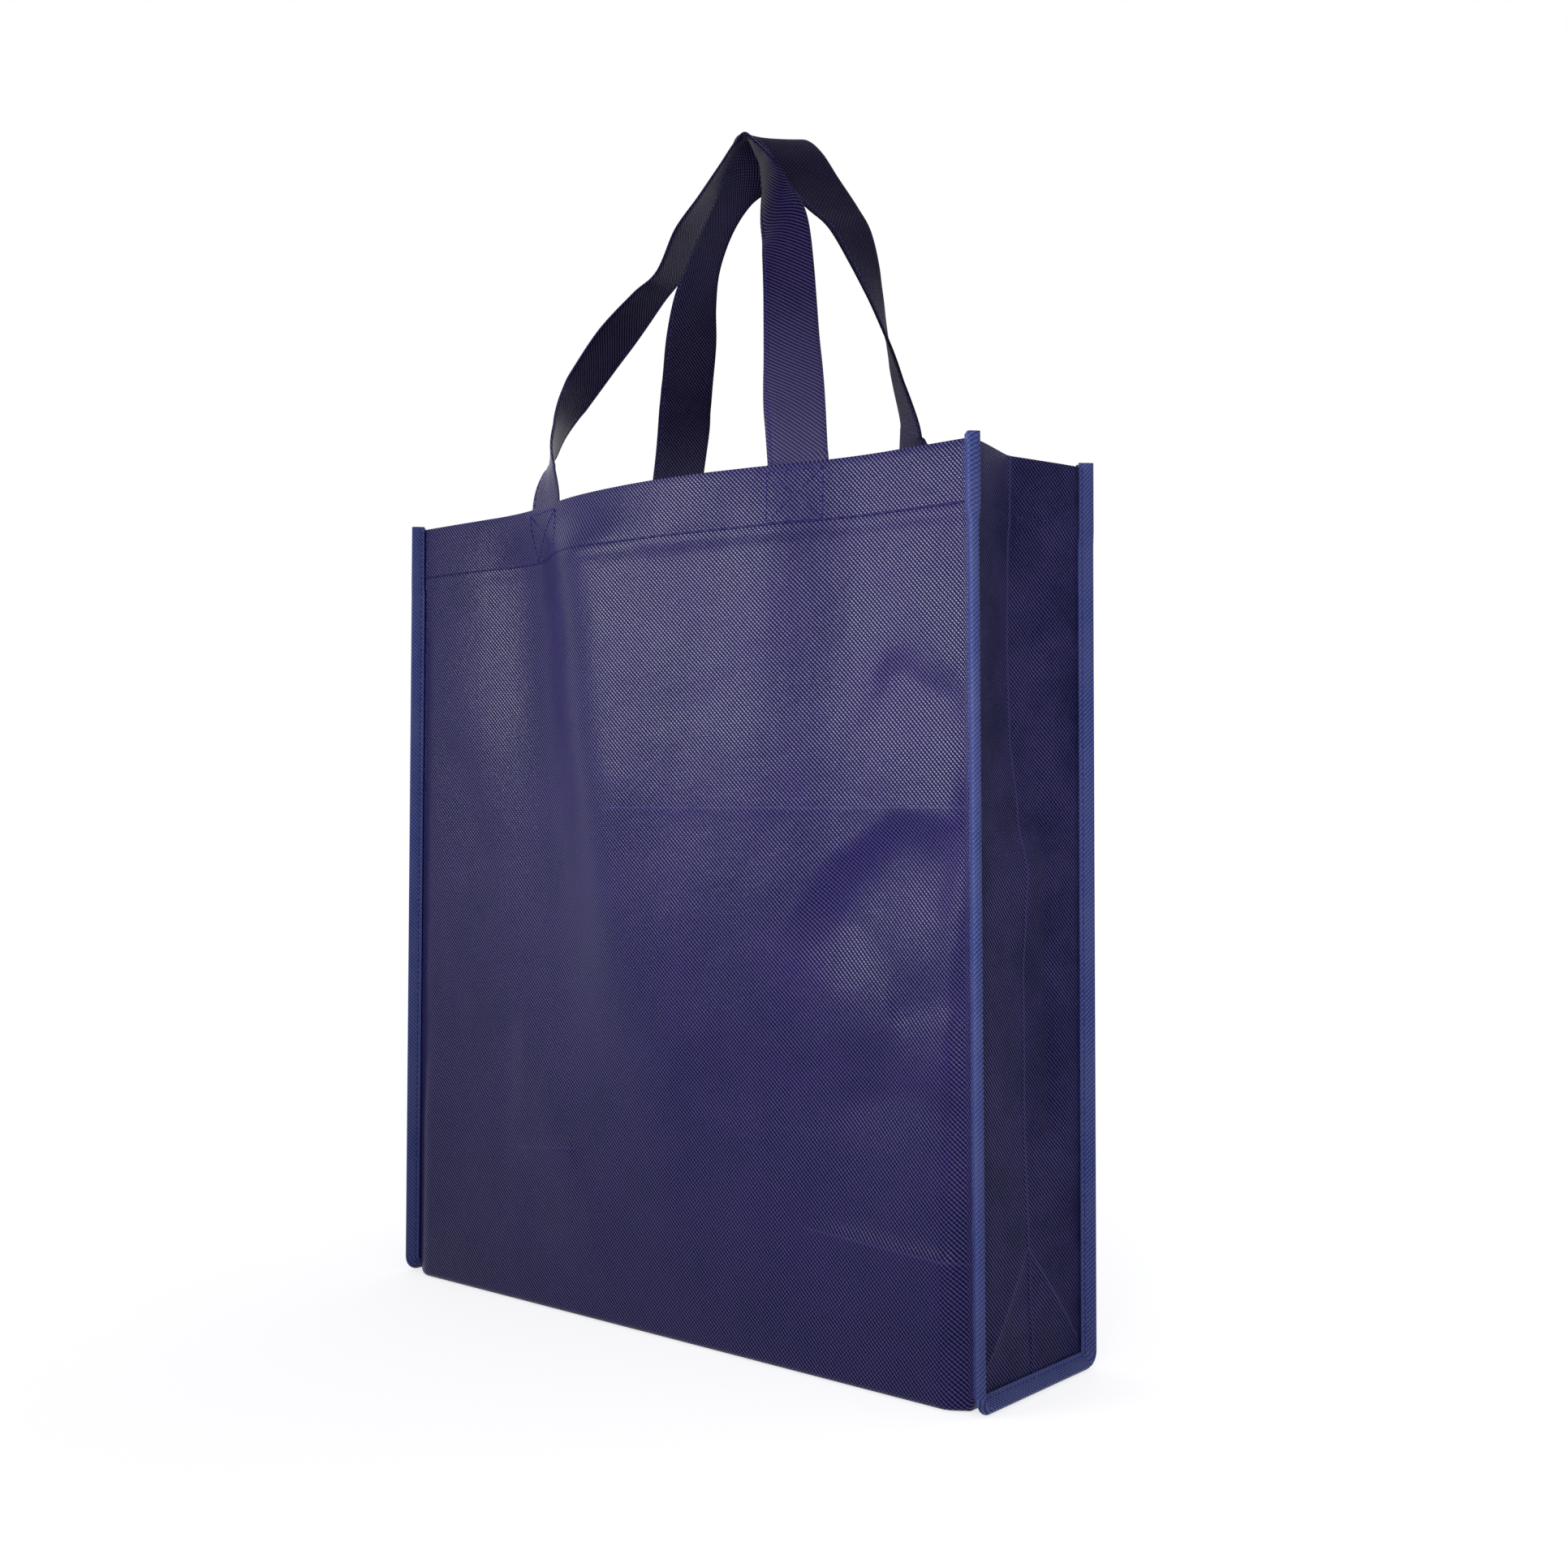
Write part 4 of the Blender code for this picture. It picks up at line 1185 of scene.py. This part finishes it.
def light_studio():
    world = bpy.data.worlds.new("studio")
    bpy.context.scene.world = world
    world.use_nodes = True
    sheet = NodeSheet(world.node_tree)
    sheet.nodes.clear()
    soft = sheet.add("ShaderNodeBackground")
    soft.inputs["Color"].default_value = SOFT_LIGHT_COLOUR
    soft.inputs["Strength"].default_value = SOFT_LIGHT_STRENGTH
    white = sheet.add("ShaderNodeBackground")
    white.inputs["Color"].default_value = (1.0, 1.0, 1.0, 1.0)
    white.inputs["Strength"].default_value = 1.0
    mix = sheet.add("ShaderNodeMixShader")
    sheet.join(sheet.surround_rays(), mix.inputs[0])
    sheet.join(soft.outputs[0], mix.inputs[1])
    sheet.join(white.outputs[0], mix.inputs[2])
    out = sheet.add("ShaderNodeOutputWorld")
    sheet.join(mix.outputs[0], out.inputs["Surface"])
    for name, place, aim, size, spread, power in LAMPS:
        lamp = bpy.data.lights.new(name, "AREA")
        lamp.shape = "RECTANGLE"
        lamp.size = size[0]
        lamp.size_y = size[1]
        lamp.spread = radians(spread)
        lamp.energy = power
        item = bpy.data.objects.new(name, lamp)
        item.location = place
        item.rotation_euler = (Vector(aim) - Vector(place)).to_track_quat("-Z", "Y").to_euler()
        bpy.context.scene.collection.objects.link(item)


def place_camera():
    camera = bpy.data.cameras.new("camera")
    camera.sensor_width = 36.0
    camera.lens = CAMERA_LENS
    camera.clip_start = 0.01
    item = bpy.data.objects.new("camera", camera)
    item.location = CAMERA_PLACE
    item.rotation_euler = (pi / 2 + CAMERA_PITCH, 0.0, CAMERA_AZIMUTH)
    bpy.context.scene.collection.objects.link(item)
    bpy.context.scene.camera = item


def main():
    groups = emboss_group(), fibre_group()
    # The panel cloth carries painted shade along the hem's stitch line.
    cloth = cloth_material(
        "navy embossed cloth", (0.008, 0.004, 0.053), (0.043, 0.035, 0.168), 0.37, 0.34,
        groups, 0.000072, (1, 0, 1), FRONT_WORN_LINES, sewn=FRONT_HEM_SHADE_LINE,
    )
    side_cloth = cloth_material(
        "navy side cloth", (0.008, 0.005, 0.048), (0.080, 0.074, 0.215), 0.48, 0.11,
        groups, 0.00014, (0, 1, 1), SIDE_WORN_LINES, mottle=0.65,
    )
    # Strap of navy cloth, drawn darker than the panel's same cloth as painted shade, and paler and
    # shinier below 0.500 m, fully at 0.405 m, as painted sheen.
    strap = cloth_material(
        "navy embossed strap", (0.004, 0.002, 0.019), (0.050, 0.040, 0.145), 0.38, 0.09,
        groups, 0.00010, foot=(0.405, 0.500),
    )
    # Painted shade: the back strap is drawn darker and duller than the front strap though it is
    # the same cloth, with painted sheen at its foot, full at 0.400 m and gone at 0.460 m.
    shaded_back_strap = cloth_material(
        "navy embossed strap, back, painted shade", (0.003, 0.002, 0.011), (0.044, 0.038, 0.098), 0.55, 0.04,
        groups, 0.00010, foot=(0.400, 0.460),
    )
    tape = cloth_material(
        "royal blue binding", (0.066, 0.082, 0.262), (0.100, 0.122, 0.312), 0.47, 0.20,
        groups, 0.00004,
    )
    thread = thread_material("royal blue thread", (0.030, 0.032, 0.270))
    hem_thread = thread_material("navy thread", (0.020, 0.018, 0.170))
    sew_body(cloth)
    for side in (1, -1):
        sew_gusset(side, side_cloth)
        sew_binding(side, tape)
        sew_binding_edge(side, thread)
        sew_gusset_hem(side, hem_thread)
    for face in (-1, 1):
        make_handle(face, strap if face < 0 else shaded_back_strap, thread)
        sew_hem(face, hem_thread)
        for side in (1, -1):
            sew_box(face, side, thread)
    lay_floor()
    light_studio()
    place_camera()
    bpy.context.scene.view_settings.view_transform = "Standard"


main()
bpy.context.view_layer.update()
